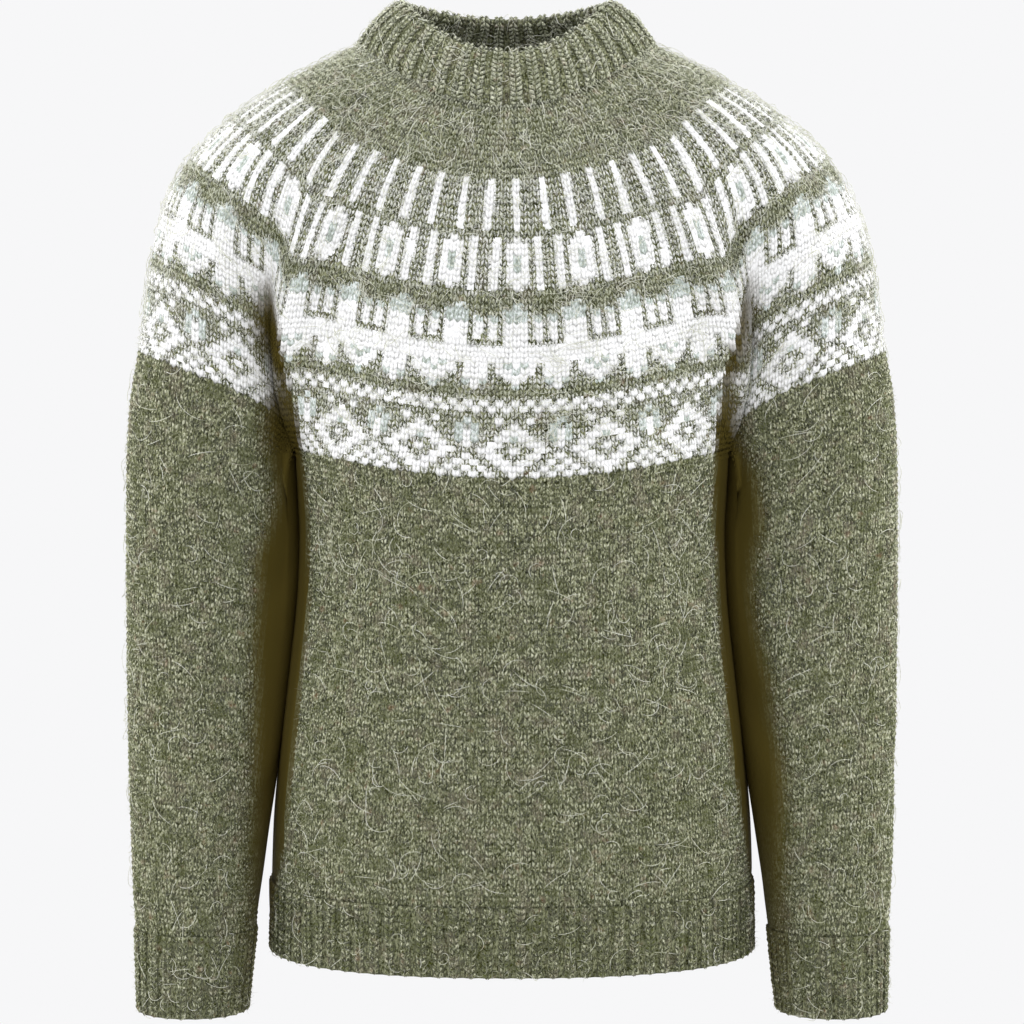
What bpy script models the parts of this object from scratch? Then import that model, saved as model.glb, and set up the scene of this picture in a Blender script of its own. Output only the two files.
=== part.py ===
"""Round yoke knit pullover, filled out as if worn, with nobody in it.

Metres, +Z up, the front faces -Y. Left and right are the wearer's, so the left sleeve is at +X.
The origin is in the middle of the neck, level with the front of the neckband's lower edge.

Every piece is a knitted tube: rings of points run round it, and a ring lies below the one before.
A piece's wall is closed from its outer rings, top to bottom, and its inner rings, bottom to top.
"""
from collections import namedtuple

import bpy
import numpy as np

COLLECTION = "round_yoke_pullover"

# Cloth
WALL = 0.0030
BAND_WALL = 0.0052
SEAM_GAP = 0.0003
RIB_RISE = 0.0016

# Places along a ring: front half, one sleeve, back half, and the strip under one arm
FRONT_STEPS = 11
SLEEVE_STEPS = 18
BACK_STEPS = 11
UNDERARM_STEPS = 4
CURVE_STEPS = 400

# Ribs in whole numbers, and the points that draw one rib: a valley and a crest
HEM_RIBS = 84
CUFF_RIBS = 24
NECK_RIBS = 44
RIB_PROFILE = (0.0, 1.0, 1.0)

# Neckband: half sizes of its ring at the lower edge and at the rim, with the heights there
NeckRing = namedtuple("NeckRing", "half_width front back z_front z_side z_back")
NECK_BASE = NeckRing(half_width=0.1020, front=0.0900, back=0.0800, z_front=0.000, z_side=0.043, z_back=0.028)
NECK_RIM = NeckRing(half_width=0.0725, front=0.0715, back=0.0660, z_front=0.038, z_side=0.073, z_back=0.063)
NECK_SQUARENESS = 2.0
NECK_BULGE = 0.0030
NECK_ROWS = (0.0, 0.35, 0.70, 0.93)
# The rim is rounded: its ribs are lower there, and both its edges are drawn in
RIM_RIB_SHARE = 0.5
RIM_INSET = 0.00096
# The neck sits a little to the wearer's right of the body's middle
NECK_SHIFT = -0.0040

# Where yoke, body and sleeves meet: the ring that they share
UNDERARM_X = 0.1500
UNDERARM_Z = -0.2340
FRONT_END_Z = -0.2480
BACK_END_Z = -0.2440
SHOULDER_END_Z = -0.1680

# The yoke leaves the neckband at these slopes below level, and arrives at the shared ring
YokeEdge = namedtuple("YokeEdge", "slope_deg start_reach end_reach")
YOKE_FRONT = YokeEdge(slope_deg=62.0, start_reach=0.085, end_reach=0.095)
YOKE_SIDE = YokeEdge(slope_deg=25.0, start_reach=0.165, end_reach=0.106)
YOKE_BACK = YokeEdge(slope_deg=40.0, start_reach=0.100, end_reach=0.100)
YOKE_ROWS = 11
# Direction in which the crease in front of and behind the arm runs into the underarm
CREASE_RUN = (-0.42, 0.38, -0.86)
CREASE_WIDTH = 0.030
# The sleeve leans out by this much for each unit down where it meets the yoke
SHOULDER_LEAN = 0.17
# How quickly the shared ring climbs out of the underarm on to the sleeve
CLIMB_POWER = 0.45

# Body below the shared ring, one row for each height
BodyRow = namedtuple("BodyRow", "z half_width front back")
BODY_TOP = BodyRow(z=UNDERARM_Z, half_width=0.1535, front=0.1285, back=0.1180)
BODY_ROWS = (
    BodyRow(z=-0.2680, half_width=0.1486, front=0.1290, back=0.1175),
    BodyRow(z=-0.3000, half_width=0.1474, front=0.1285, back=0.1160),
    BodyRow(z=-0.3450, half_width=0.1496, front=0.1270, back=0.1120),
    BodyRow(z=-0.3950, half_width=0.1556, front=0.1255, back=0.1095),
    BodyRow(z=-0.4450, half_width=0.1622, front=0.1250, back=0.1110),
    BodyRow(z=-0.4950, half_width=0.1668, front=0.1258, back=0.1150),
    BodyRow(z=-0.5400, half_width=0.1682, front=0.1258, back=0.1170),
)
HEM_BOTTOM = BodyRow(z=-0.5880, half_width=0.1690, front=0.1250, back=0.1160)
BODY_SQUARENESS = 2.3

# Sleeves below the shared ring, as the left one: inner and outer side, middle and half of its depth
SleeveRow = namedtuple("SleeveRow", "z inner outer middle_y half_depth")
SLEEVE_TOP = SleeveRow(z=UNDERARM_Z, inner=0.1472, outer=0.2595, middle_y=0.0000, half_depth=0.0690)
SLEEVE_ROWS = (
    SleeveRow(z=-0.2640, inner=0.1506, outer=0.2655, middle_y=0.0010, half_depth=0.0670),
    SleeveRow(z=-0.2960, inner=0.1496, outer=0.2685, middle_y=0.0020, half_depth=0.0645),
    SleeveRow(z=-0.3350, inner=0.1512, outer=0.2695, middle_y=0.0025, half_depth=0.0610),
    SleeveRow(z=-0.3750, inner=0.1556, outer=0.2695, middle_y=0.0010, half_depth=0.0575),
    SleeveRow(z=-0.4150, inner=0.1612, outer=0.2690, middle_y=-0.0030, half_depth=0.0545),
    SleeveRow(z=-0.4570, inner=0.1668, outer=0.2680, middle_y=-0.0090, half_depth=0.0520),
    SleeveRow(z=-0.5000, inner=0.1718, outer=0.2662, middle_y=-0.0165, half_depth=0.0490),
    SleeveRow(z=-0.5400, inner=0.1762, outer=0.2645, middle_y=-0.0235, half_depth=0.0460),
    SleeveRow(z=-0.5700, inner=0.1796, outer=0.2622, middle_y=-0.0280, half_depth=0.0435),
)
CUFF_BOTTOM = SleeveRow(z=-0.6265, inner=0.1858, outer=0.2602, middle_y=-0.0350, half_depth=0.0405)
SLEEVE_SQUARENESS = 2.1
# The slant that the rings keep from the shared ring dies away over these drops
BODY_SLANT_DROP = 0.110
SLEEVE_SLANT_DROP = 0.220

# The largest folds: place round the tube (0 front, 1 left side, 2 back, 3 right side), height,
# half length, half width, tilt sideways per unit of height, and depth of the trough
Fold = namedtuple("Fold", "turn z half_length half_width tilt depth")
BODY_FOLDS = (
    Fold(turn=0.62, z=-0.3350, half_length=0.075, half_width=0.022, tilt=0.35, depth=0.0035),
    Fold(turn=3.36, z=-0.3500, half_length=0.085, half_width=0.024, tilt=-0.30, depth=0.0040),
    Fold(turn=1.60, z=-0.3900, half_length=0.100, half_width=0.030, tilt=-0.15, depth=0.0045),
    Fold(turn=2.45, z=-0.3800, half_length=0.090, half_width=0.028, tilt=0.20, depth=0.0040),
)
LEFT_FOLDS = (
    Fold(turn=0.15, z=-0.3900, half_length=0.050, half_width=0.018, tilt=0.55, depth=0.0030),
    Fold(turn=3.65, z=-0.4500, half_length=0.045, half_width=0.016, tilt=-0.60, depth=0.0030),
    Fold(turn=2.10, z=-0.4300, half_length=0.060, half_width=0.020, tilt=0.40, depth=0.0035),
)
RIGHT_FOLDS = (
    Fold(turn=0.25, z=-0.4200, half_length=0.055, half_width=0.018, tilt=-0.55, depth=0.0032),
    Fold(turn=3.80, z=-0.3600, half_length=0.045, half_width=0.018, tilt=0.50, depth=0.0028),
    Fold(turn=1.90, z=-0.4400, half_length=0.060, half_width=0.020, tilt=-0.40, depth=0.0035),
)

# Colours of the yarns, linear, and how rough wool is
OLIVE_HEATHER = (0.125, 0.122, 0.070, 1.0)
YOKE_MIX = (0.300, 0.310, 0.270, 1.0)
WOOL_ROUGHNESS = 0.95


def clear_scene():
    """Take away whatever the file opened with."""
    for thing in list(bpy.context.scene.objects):
        bpy.data.objects.remove(thing, do_unlink=True)


def unit(vectors):
    """Vectors of length one."""
    return vectors / np.linalg.norm(vectors, axis=-1, keepdims=True)


def spread(curve, steps):
    """Points at equal distances along a finely drawn curve, both ends included."""
    lengths = np.linalg.norm(np.diff(curve, axis=0), axis=1)
    along = np.concatenate(([0.0], np.cumsum(lengths)))
    places = np.linspace(0.0, along[-1], steps + 1)
    return np.stack([np.interp(places, along, curve[:, axis]) for axis in range(curve.shape[1])], axis=1)


def oval(half_width, front, back, squareness):
    """A fine curve in plan, round the +X side from the front to the back."""
    turn = np.radians(np.linspace(-90.0, 90.0, CURVE_STEPS + 1))
    power = 2.0 / squareness
    depth = np.where(np.sin(turn) < 0.0, front, back)
    x = half_width * np.abs(np.cos(turn)) ** power
    y = depth * np.sign(np.sin(turn)) * np.abs(np.sin(turn)) ** power
    return np.stack([x, y], axis=1)


def body_plan(row, flat_x=None):
    """The body's half ring in plan, cut flat at flat_x where the arm's tube lies against it."""
    curve = oval(row.half_width, row.front, row.back, BODY_SQUARENESS)
    if flat_x is not None:
        curve[:, 0] = np.minimum(curve[:, 0], flat_x)
    return curve


def split_body(curve, half_strip):
    """Front, underarm and back parts of a body half ring, by depth from the middle."""
    front = curve[curve[:, 1] <= -half_strip]
    strip = curve[(curve[:, 1] > -half_strip) & (curve[:, 1] < half_strip)]
    back = curve[curve[:, 1] >= half_strip]
    strip = np.concatenate((front[-1:], strip, back[:1]))
    return spread(front, FRONT_STEPS), spread(strip, UNDERARM_STEPS), spread(back, BACK_STEPS)


def sleeve_plan(row, flat_x=None):
    """The left sleeve's whole ring in plan, from its inner side round the front, out and back."""
    middle = 0.5 * (row.inner + row.outer)
    half_width = 0.5 * (row.outer - row.inner)
    turn = np.radians(np.linspace(-180.0, 180.0, 2 * CURVE_STEPS + 1))
    power = 2.0 / SLEEVE_SQUARENESS
    x = middle + half_width * np.sign(np.cos(turn)) * np.abs(np.cos(turn)) ** power
    y = row.middle_y + row.half_depth * np.sign(np.sin(turn)) * np.abs(np.sin(turn)) ** power
    if flat_x is not None:
        x = np.maximum(x, flat_x)
    return np.stack([x, y], axis=1)


def split_sleeve(curve, middle_x, middle_y, half_strip):
    """The sleeve's visible arc, front to back, and the strip under the arm, back to front."""
    inner_side = (curve[:, 0] < middle_x) & (np.abs(curve[:, 1] - middle_y) < half_strip)
    arc = curve[~inner_side]
    strip = curve[inner_side]
    upper = strip[strip[:, 1] >= middle_y]
    lower = strip[strip[:, 1] < middle_y]
    strip = np.concatenate((arc[-1:], upper, lower, arc[:1]))
    return spread(arc, SLEEVE_STEPS), spread(strip, UNDERARM_STEPS)


def half_strip_of(row, flat_x):
    """Half the depth of the flat where a top ring is cut at flat_x."""
    curve = body_plan(row, flat_x)
    return float(-curve[curve[:, 0] >= flat_x][0, 1])


def ease(fraction):
    """0 to 1 with level ends."""
    return 0.5 - 0.5 * np.cos(np.pi * np.clip(fraction, 0.0, 1.0))


def with_height(plan, heights):
    """Plan points with their heights."""
    return np.column_stack([plan, heights])


def shared_ring():
    """The parts of the ring where yoke, body and left sleeve meet, in 3-D."""
    strip = half_strip_of(BODY_TOP, UNDERARM_X)
    front, under, back = split_body(body_plan(BODY_TOP, UNDERARM_X), strip)
    middle_x = 0.5 * (SLEEVE_TOP.inner + SLEEVE_TOP.outer)
    plan = sleeve_plan(SLEEVE_TOP, UNDERARM_X)
    arc, sleeve_under = split_sleeve(plan, middle_x, SLEEVE_TOP.middle_y, strip)
    arc[0] = front[-1]
    arc[-1] = back[0]
    front_z = FRONT_END_Z + (UNDERARM_Z - FRONT_END_Z) * ease(np.linspace(0.0, 1.0, FRONT_STEPS + 1))
    back_z = UNDERARM_Z + (BACK_END_Z - UNDERARM_Z) * ease(np.linspace(0.0, 1.0, BACK_STEPS + 1))
    outward = np.clip((arc[:, 0] - UNDERARM_X) / (SLEEVE_TOP.outer - UNDERARM_X), 0.0, 1.0)
    arc_z = UNDERARM_Z + (SHOULDER_END_Z - UNDERARM_Z) * outward ** CLIMB_POWER
    level = np.full(UNDERARM_STEPS + 1, UNDERARM_Z)
    return {
        "front": with_height(front, front_z),
        "under": with_height(under, level),
        "back": with_height(back, back_z),
        "arc": with_height(arc, arc_z),
        "sleeve_under": with_height(sleeve_under, level),
    }


def mirrored(half):
    """A whole ring from its +X half, which runs from the front middle to the back middle."""
    other = half[-2:0:-1] * np.array([-1.0, 1.0, 1.0])
    return np.concatenate((half, other))


def joined(*parts):
    """Parts of a ring that share their end points, as one run."""
    run = [parts[0]]
    for part in parts[1:]:
        run.append(part[1:])
    return np.concatenate(run)


def neck_ring(ring, fractions):
    """Half a ring of the neckband, with points at these fractions of its length."""
    curve = oval(ring.half_width, ring.front, ring.back, NECK_SQUARENESS)
    lengths = np.linalg.norm(np.diff(curve, axis=0), axis=1)
    along = np.concatenate(([0.0], np.cumsum(lengths)))
    places = fractions * along[-1]
    plan = np.stack([np.interp(places, along, curve[:, axis]) for axis in (0, 1)], axis=1)
    rise = (plan[:, 0] / ring.half_width) ** 2
    ends = np.where(plan[:, 1] < 0.0, ring.z_front, ring.z_back)
    return with_height(plan, ends + (ring.z_side - ends) * rise)


def yoke_grid(ring):
    """The yoke's surface: a curve down every column, from the neckband to the shared ring."""
    low = joined(ring["front"], ring["arc"], ring["back"])
    steps = np.linalg.norm(np.diff(low, axis=0), axis=1)
    fractions = np.concatenate(([0.0], np.cumsum(steps))) / steps.sum()
    top = neck_ring(NECK_BASE, fractions)
    outward = np.column_stack([top[:, 0] / NECK_BASE.half_width ** 2, top[:, 1] / NECK_BASE.front ** 2])
    outward = unit(outward)
    side = outward[:, 0] ** 2
    ends = [np.where(top[:, 1] < 0.0, front, back) for front, back in zip(YOKE_FRONT, YOKE_BACK)]
    slope, start_reach, end_reach = [end + (mid - end) * side for end, mid in zip(ends, YOKE_SIDE)]
    slope = np.radians(slope)
    start = np.column_stack([outward * np.cos(slope)[:, None], -np.sin(slope)])
    lean = SHOULDER_LEAN * np.clip((low[:, 0] - UNDERARM_X) / (SLEEVE_TOP.outer - UNDERARM_X), 0.0, 1.0)
    finish = np.column_stack([lean, np.zeros(len(low)), np.full(len(low), -1.0)])
    for corner, depth_sign in ((ring["front"][-1], 1.0), (ring["back"][0], -1.0)):
        near = np.exp(-(np.linalg.norm(low - corner, axis=1) / CREASE_WIDTH) ** 2)[:, None]
        run = np.array(CREASE_RUN) * np.array([1.0, depth_sign, 1.0])
        finish = finish * (1.0 - near) + run * near
    finish = unit(finish)
    after = top + start * start_reach[:, None]
    before = low - finish * end_reach[:, None]
    rows = []
    for t in np.linspace(0.0, 1.0, YOKE_ROWS + 1):
        upper = (1 - t) ** 3 * top + 3 * (1 - t) ** 2 * t * after
        lower = 3 * (1 - t) * t ** 2 * before + t ** 3 * low
        rows.append(mirrored(upper + lower) + np.array([NECK_SHIFT * (1.0 - ease(t)), 0.0, 0.0]))
    return np.array(rows)


def body_grid(ring):
    """The body's whole surface from the shared ring down to the hem's lower edge."""
    strip = half_strip_of(BODY_TOP, UNDERARM_X)
    top = joined(ring["front"], ring["under"], ring["back"])
    rows = [top]
    lift = top[:, 2] - UNDERARM_Z
    for row in BODY_ROWS + (HEM_BOTTOM,):
        plan = joined(*split_body(body_plan(row), strip))
        fade = 1.0 - ease((UNDERARM_Z - row.z) / BODY_SLANT_DROP)
        rows.append(with_height(plan, row.z + lift * fade))
    return np.array([mirrored(row) for row in rows])


def sleeve_grid(ring):
    """The left sleeve's whole surface from the shared ring down to the cuff's lower edge."""
    strip = half_strip_of(BODY_TOP, UNDERARM_X)
    top = joined(ring["arc"], ring["sleeve_under"])[:-1]
    rows = [top]
    lift = top[:, 2] - UNDERARM_Z
    for row in SLEEVE_ROWS + (CUFF_BOTTOM,):
        narrow = strip * row.half_depth / SLEEVE_TOP.half_depth
        middle_x = 0.5 * (row.inner + row.outer)
        arc, under = split_sleeve(sleeve_plan(row), middle_x, row.middle_y, narrow)
        fade = 1.0 - ease((UNDERARM_Z - row.z) / SLEEVE_SLANT_DROP)
        rows.append(with_height(joined(arc, under)[:-1], row.z + lift * fade))
    return np.array(rows)


def level_normals(ring):
    """Directions out of a closed ring, all level."""
    run = np.roll(ring, -1, axis=0) - np.roll(ring, 1, axis=0)
    out = np.column_stack([run[:, 1], -run[:, 0], np.zeros(len(run))])
    return unit(out)


def surface_normals(grid):
    """Directions out of a grid of closed rings."""
    down = np.gradient(grid, axis=0)
    run = np.roll(grid, -1, axis=1) - np.roll(grid, 1, axis=1)
    return unit(np.cross(down, run))


def fold_depths(grid, folds):
    """How far each point of a tube is drawn in by its folds."""
    depths = np.zeros(grid.shape[:2])
    middles = grid.mean(axis=1, keepdims=True)
    turns = np.arctan2(grid[..., 0] - middles[..., 0], -(grid[..., 1] - middles[..., 1])) / (0.5 * np.pi)
    radii = np.linalg.norm((grid - middles)[..., :2], axis=-1)
    for fold in folds:
        down = grid[..., 2] - fold.z
        apart = (turns - fold.turn + 2.0) % 4.0 - 2.0
        across = apart * 0.5 * np.pi * radii - fold.tilt * down
        depths += fold.depth * np.exp(-(across / fold.half_width) ** 2 - (down / fold.half_length) ** 2)
    return depths


def ring_solid(name, rows, colour):
    """One closed wall from rings that run down its outside and back up its inside."""
    count, columns = rows.shape[:2]
    faces = []
    for row in range(count):
        below = (row + 1) % count
        for column in range(columns):
            beside = (column + 1) % columns
            faces.append(
                (
                    row * columns + column,
                    below * columns + column,
                    below * columns + beside,
                    row * columns + beside,
                )
            )
    mesh = bpy.data.meshes.new(name)
    mesh.from_pydata(rows.reshape(-1, 3).tolist(), [], faces)
    mesh.validate()
    mesh.shade_smooth()
    piece = bpy.data.objects.new(name, mesh)
    bpy.data.collections[COLLECTION].objects.link(piece)
    mesh.materials.append(wool(name + "_wool", colour))
    return piece


def wool(name, colour):
    """A matt knitted wool of one colour."""
    material = bpy.data.materials.new(name)
    material.use_nodes = True
    shader = material.node_tree.nodes["Principled BSDF"]
    shader.inputs["Base Color"].default_value = colour
    shader.inputs["Roughness"].default_value = WOOL_ROUGHNESS
    shader.inputs["Metallic"].default_value = 0.0
    return material


def pull_in(rows):
    """Shorten a run of rings by half a seam gap at each end, along its own surface."""
    shorter = rows.copy()
    shorter[0] += unit(rows[1] - rows[0]) * SEAM_GAP / 2
    shorter[-1] += unit(rows[-2] - rows[-1]) * SEAM_GAP / 2
    return shorter


def plain_piece(name, grid, normals, first, last, colour):
    """A plain wall from row first to row last of a surface."""
    outer = pull_in(grid[first:last + 1])
    inner = outer - normals[first:last + 1] * WALL
    return ring_solid(name, np.concatenate((outer, inner[::-1])), colour)


def resample_ring(ring, count):
    """A closed ring with count points at equal distances, the first one kept."""
    closed = np.concatenate((ring, ring[:1]))
    return spread(closed, count)[:-1]


def ribbed_piece(name, upper, lower, ribs, colour):
    """A ribbed wall between two rings: crests and valleys outside, plain inside."""
    count = ribs * len(RIB_PROFILE)
    outer = pull_in(np.array([resample_ring(upper, count), resample_ring(lower, count)]))
    normals = np.array([level_normals(ring) for ring in outer])
    rise = np.tile(RIB_PROFILE, ribs)[None, :, None] * RIB_RISE
    inner = outer - normals * WALL
    crest = outer + normals * rise
    return ring_solid(name, np.concatenate((crest, inner[::-1])), colour)


def neckband(colour):
    """The doubled neckband: a ribbed funnel with a rounded rim, plain inside."""
    count = NECK_RIBS * len(RIB_PROFILE)
    fractions = np.linspace(0.0, 1.0, count // 2 + 1)
    shift = np.array([NECK_SHIFT, 0.0, 0.0])
    base = mirrored(neck_ring(NECK_BASE, fractions)) + shift
    rim = mirrored(neck_ring(NECK_RIM, fractions)) + shift
    slant = unit(rim - base)
    out = unit(np.cross(np.roll(base, -1, axis=0) - np.roll(base, 1, axis=0), slant))
    rise = np.tile(RIB_PROFILE, NECK_RIBS)[:, None] * RIB_RISE
    outside = []
    inside = []
    for place in NECK_ROWS:
        middle = base + (rim - base) * place + out * NECK_BULGE * np.sin(np.pi * place)
        outside.append(middle + out * rise)
        inside.append(middle - out * BAND_WALL)
    outside[0] = outside[0] + slant * SEAM_GAP
    inside[0] = inside[0] + slant * SEAM_GAP
    rounded = [
        rim + out * (rise * RIM_RIB_SHARE - RIM_INSET),
        rim - out * (BAND_WALL - RIM_INSET),
    ]
    rows = outside[::-1] + inside + rounded[::-1]
    return ring_solid("neckband", np.array(rows), colour)


def flipped(grid):
    """The same tube on the other side of the body, its rings still running the same way round."""
    return (grid * np.array([-1.0, 1.0, 1.0]))[:, ::-1]


def build():
    """Make every piece of the pullover."""
    clear_scene()
    home = bpy.data.collections.new(COLLECTION)
    bpy.context.scene.collection.children.link(home)
    ring = shared_ring()
    yoke = yoke_grid(ring)
    body = body_grid(ring)
    left = sleeve_grid(ring)
    right = flipped(left)

    yoke_out = surface_normals(yoke)
    yoke_out[-1] = level_normals(yoke[-1])
    plain_piece("yoke", yoke, yoke_out, 0, YOKE_ROWS, YOKE_MIX)
    neckband(OLIVE_HEATHER)

    body_out = surface_normals(body)
    body_out[0] = level_normals(body[0])
    body = body - body_out * fold_depths(body, BODY_FOLDS)[..., None]
    plain_piece("body", body, body_out, 0, len(BODY_ROWS), OLIVE_HEATHER)
    ribbed_piece("hem_rib", body[-2], body[-1], HEM_RIBS, OLIVE_HEATHER)

    for side, sleeve, folds in (("left", left, LEFT_FOLDS), ("right", right, RIGHT_FOLDS)):
        out = surface_normals(sleeve)
        out[0] = level_normals(sleeve[0])
        sleeve = sleeve - out * fold_depths(sleeve, folds)[..., None]
        plain_piece("sleeve_" + side, sleeve, out, 0, len(SLEEVE_ROWS), OLIVE_HEATHER)
        ribbed_piece("cuff_" + side, sleeve[-2], sleeve[-1], CUFF_RIBS, OLIVE_HEATHER)


build()
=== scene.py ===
"""The looks of a round yoke knit pullover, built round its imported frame.

Metres, +Z up, the front faces -Y. Left and right are the wearer's, so the left sleeve is at +X.
The pullover keeps the shape of a wearer who isn't there. Every part of it is a knitted tube: a thin
fabric shell, and on it the yarn itself, two plump strands for every stitch.

Places on a tube are given by turn, 0 to 1 once round it, and by drop, 0 at its upper edge and 1 at
its lower one. Sizes across a stitch are in stitch widths, and sizes down it in row heights.
"""

import logging
import math
from collections import namedtuple
from collections.abc import Sequence
from dataclasses import dataclass
from enum import Enum

import bpy
import numpy as np
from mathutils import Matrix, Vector


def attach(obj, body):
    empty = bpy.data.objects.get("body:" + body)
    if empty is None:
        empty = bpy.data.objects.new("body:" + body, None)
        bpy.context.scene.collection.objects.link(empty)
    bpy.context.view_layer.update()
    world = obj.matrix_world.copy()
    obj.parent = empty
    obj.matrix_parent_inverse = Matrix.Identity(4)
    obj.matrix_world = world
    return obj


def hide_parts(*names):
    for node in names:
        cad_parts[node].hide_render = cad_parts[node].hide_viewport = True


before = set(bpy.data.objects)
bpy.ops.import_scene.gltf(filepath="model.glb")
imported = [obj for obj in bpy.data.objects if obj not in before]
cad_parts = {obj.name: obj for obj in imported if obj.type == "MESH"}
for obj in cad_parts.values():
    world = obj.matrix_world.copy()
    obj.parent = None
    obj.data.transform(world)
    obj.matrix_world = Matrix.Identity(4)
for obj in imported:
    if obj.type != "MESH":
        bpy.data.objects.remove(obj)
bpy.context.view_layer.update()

log = logging.getLogger("pullover")

# ---------------------------------------------------------------- form, the same tables as the solids

WALL = 0.0030
BAND_WALL = 0.0052
RIB_RISE = 0.0016

FRONT_STEPS = 88
SLEEVE_STEPS = 120
BACK_STEPS = 88
UNDERARM_STEPS = 24
CURVE_STEPS = 1200

HEM_RIBS = 84
CUFF_RIBS = 24
NECK_RIBS = 44

NeckRing = namedtuple("NeckRing", "half_width front back z_front z_side z_back")
NECK_BASE = NeckRing(half_width=0.1020, front=0.0900, back=0.0800, z_front=0.000, z_side=0.043, z_back=0.028)
NECK_RIM = NeckRing(half_width=0.0725, front=0.0715, back=0.0660, z_front=0.038, z_side=0.073, z_back=0.063)
NECK_BULGE = 0.0030
NECK_SHIFT = -0.0040

UNDERARM_X = 0.1500
UNDERARM_Z = -0.2340
FRONT_END_Z = -0.2480
BACK_END_Z = -0.2440
SHOULDER_END_Z = -0.1680

YokeEdge = namedtuple("YokeEdge", "slope_deg start_reach end_reach")
YOKE_FRONT = YokeEdge(slope_deg=62.0, start_reach=0.085, end_reach=0.095)
YOKE_SIDE = YokeEdge(slope_deg=25.0, start_reach=0.165, end_reach=0.106)
YOKE_BACK = YokeEdge(slope_deg=40.0, start_reach=0.100, end_reach=0.100)
CREASE_RUN = (-0.42, 0.38, -0.86)
CREASE_WIDTH = 0.030
SHOULDER_LEAN = 0.17
CLIMB_POWER = 0.45

BodyRow = namedtuple("BodyRow", "z half_width front back")
BODY_TOP = BodyRow(z=UNDERARM_Z, half_width=0.1535, front=0.1285, back=0.1180)
BODY_ROWS = (
    BodyRow(z=-0.2680, half_width=0.1486, front=0.1290, back=0.1175),
    BodyRow(z=-0.3000, half_width=0.1474, front=0.1285, back=0.1160),
    BodyRow(z=-0.3450, half_width=0.1496, front=0.1270, back=0.1120),
    BodyRow(z=-0.3950, half_width=0.1556, front=0.1255, back=0.1095),
    BodyRow(z=-0.4450, half_width=0.1622, front=0.1250, back=0.1110),
    BodyRow(z=-0.4950, half_width=0.1668, front=0.1258, back=0.1150),
    BodyRow(z=-0.5400, half_width=0.1682, front=0.1258, back=0.1170),
)
HEM_BOTTOM = BodyRow(z=-0.5880, half_width=0.1690, front=0.1250, back=0.1160)
BODY_SQUARENESS = 2.3

SleeveRow = namedtuple("SleeveRow", "z inner outer middle_y half_depth")
SLEEVE_TOP = SleeveRow(z=UNDERARM_Z, inner=0.1472, outer=0.2595, middle_y=0.0000, half_depth=0.0690)
SLEEVE_ROWS = (
    SleeveRow(z=-0.2640, inner=0.1503, outer=0.2655, middle_y=0.0010, half_depth=0.0670),
    SleeveRow(z=-0.2960, inner=0.1484, outer=0.2685, middle_y=0.0020, half_depth=0.0645),
    SleeveRow(z=-0.3350, inner=0.1497, outer=0.2695, middle_y=0.0025, half_depth=0.0610),
    SleeveRow(z=-0.3750, inner=0.1538, outer=0.2695, middle_y=0.0010, half_depth=0.0575),
    SleeveRow(z=-0.4150, inner=0.1588, outer=0.2690, middle_y=-0.0030, half_depth=0.0545),
    SleeveRow(z=-0.4570, inner=0.1643, outer=0.2680, middle_y=-0.0090, half_depth=0.0520),
    SleeveRow(z=-0.5000, inner=0.1708, outer=0.2662, middle_y=-0.0165, half_depth=0.0490),
    SleeveRow(z=-0.5400, inner=0.1762, outer=0.2645, middle_y=-0.0235, half_depth=0.0460),
    SleeveRow(z=-0.5700, inner=0.1796, outer=0.2622, middle_y=-0.0280, half_depth=0.0435),
)
CUFF_BOTTOM = SleeveRow(z=-0.6265, inner=0.1858, outer=0.2602, middle_y=-0.0350, half_depth=0.0405)
SLEEVE_SQUARENESS = 2.1
SLANT_DROP = 0.110

Fold = namedtuple("Fold", "turn z half_length half_width tilt depth")
BODY_FOLDS = (
    Fold(turn=0.62, z=-0.3350, half_length=0.075, half_width=0.022, tilt=0.35, depth=0.0035),
    Fold(turn=3.36, z=-0.3500, half_length=0.085, half_width=0.024, tilt=-0.30, depth=0.0040),
    Fold(turn=1.60, z=-0.3900, half_length=0.100, half_width=0.030, tilt=-0.15, depth=0.0045),
    Fold(turn=2.45, z=-0.3800, half_length=0.090, half_width=0.028, tilt=0.20, depth=0.0040),
)
LEFT_FOLDS = (
    Fold(turn=0.15, z=-0.3900, half_length=0.050, half_width=0.018, tilt=0.55, depth=0.0030),
    Fold(turn=3.65, z=-0.4500, half_length=0.045, half_width=0.016, tilt=-0.60, depth=0.0030),
    Fold(turn=2.10, z=-0.4300, half_length=0.060, half_width=0.020, tilt=0.40, depth=0.0035),
)
RIGHT_FOLDS = (
    Fold(turn=0.25, z=-0.4200, half_length=0.055, half_width=0.018, tilt=-0.55, depth=0.0032),
    Fold(turn=3.80, z=-0.3600, half_length=0.045, half_width=0.018, tilt=0.50, depth=0.0028),
    Fold(turn=1.90, z=-0.4400, half_length=0.060, half_width=0.020, tilt=-0.40, depth=0.0035),
)

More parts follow.
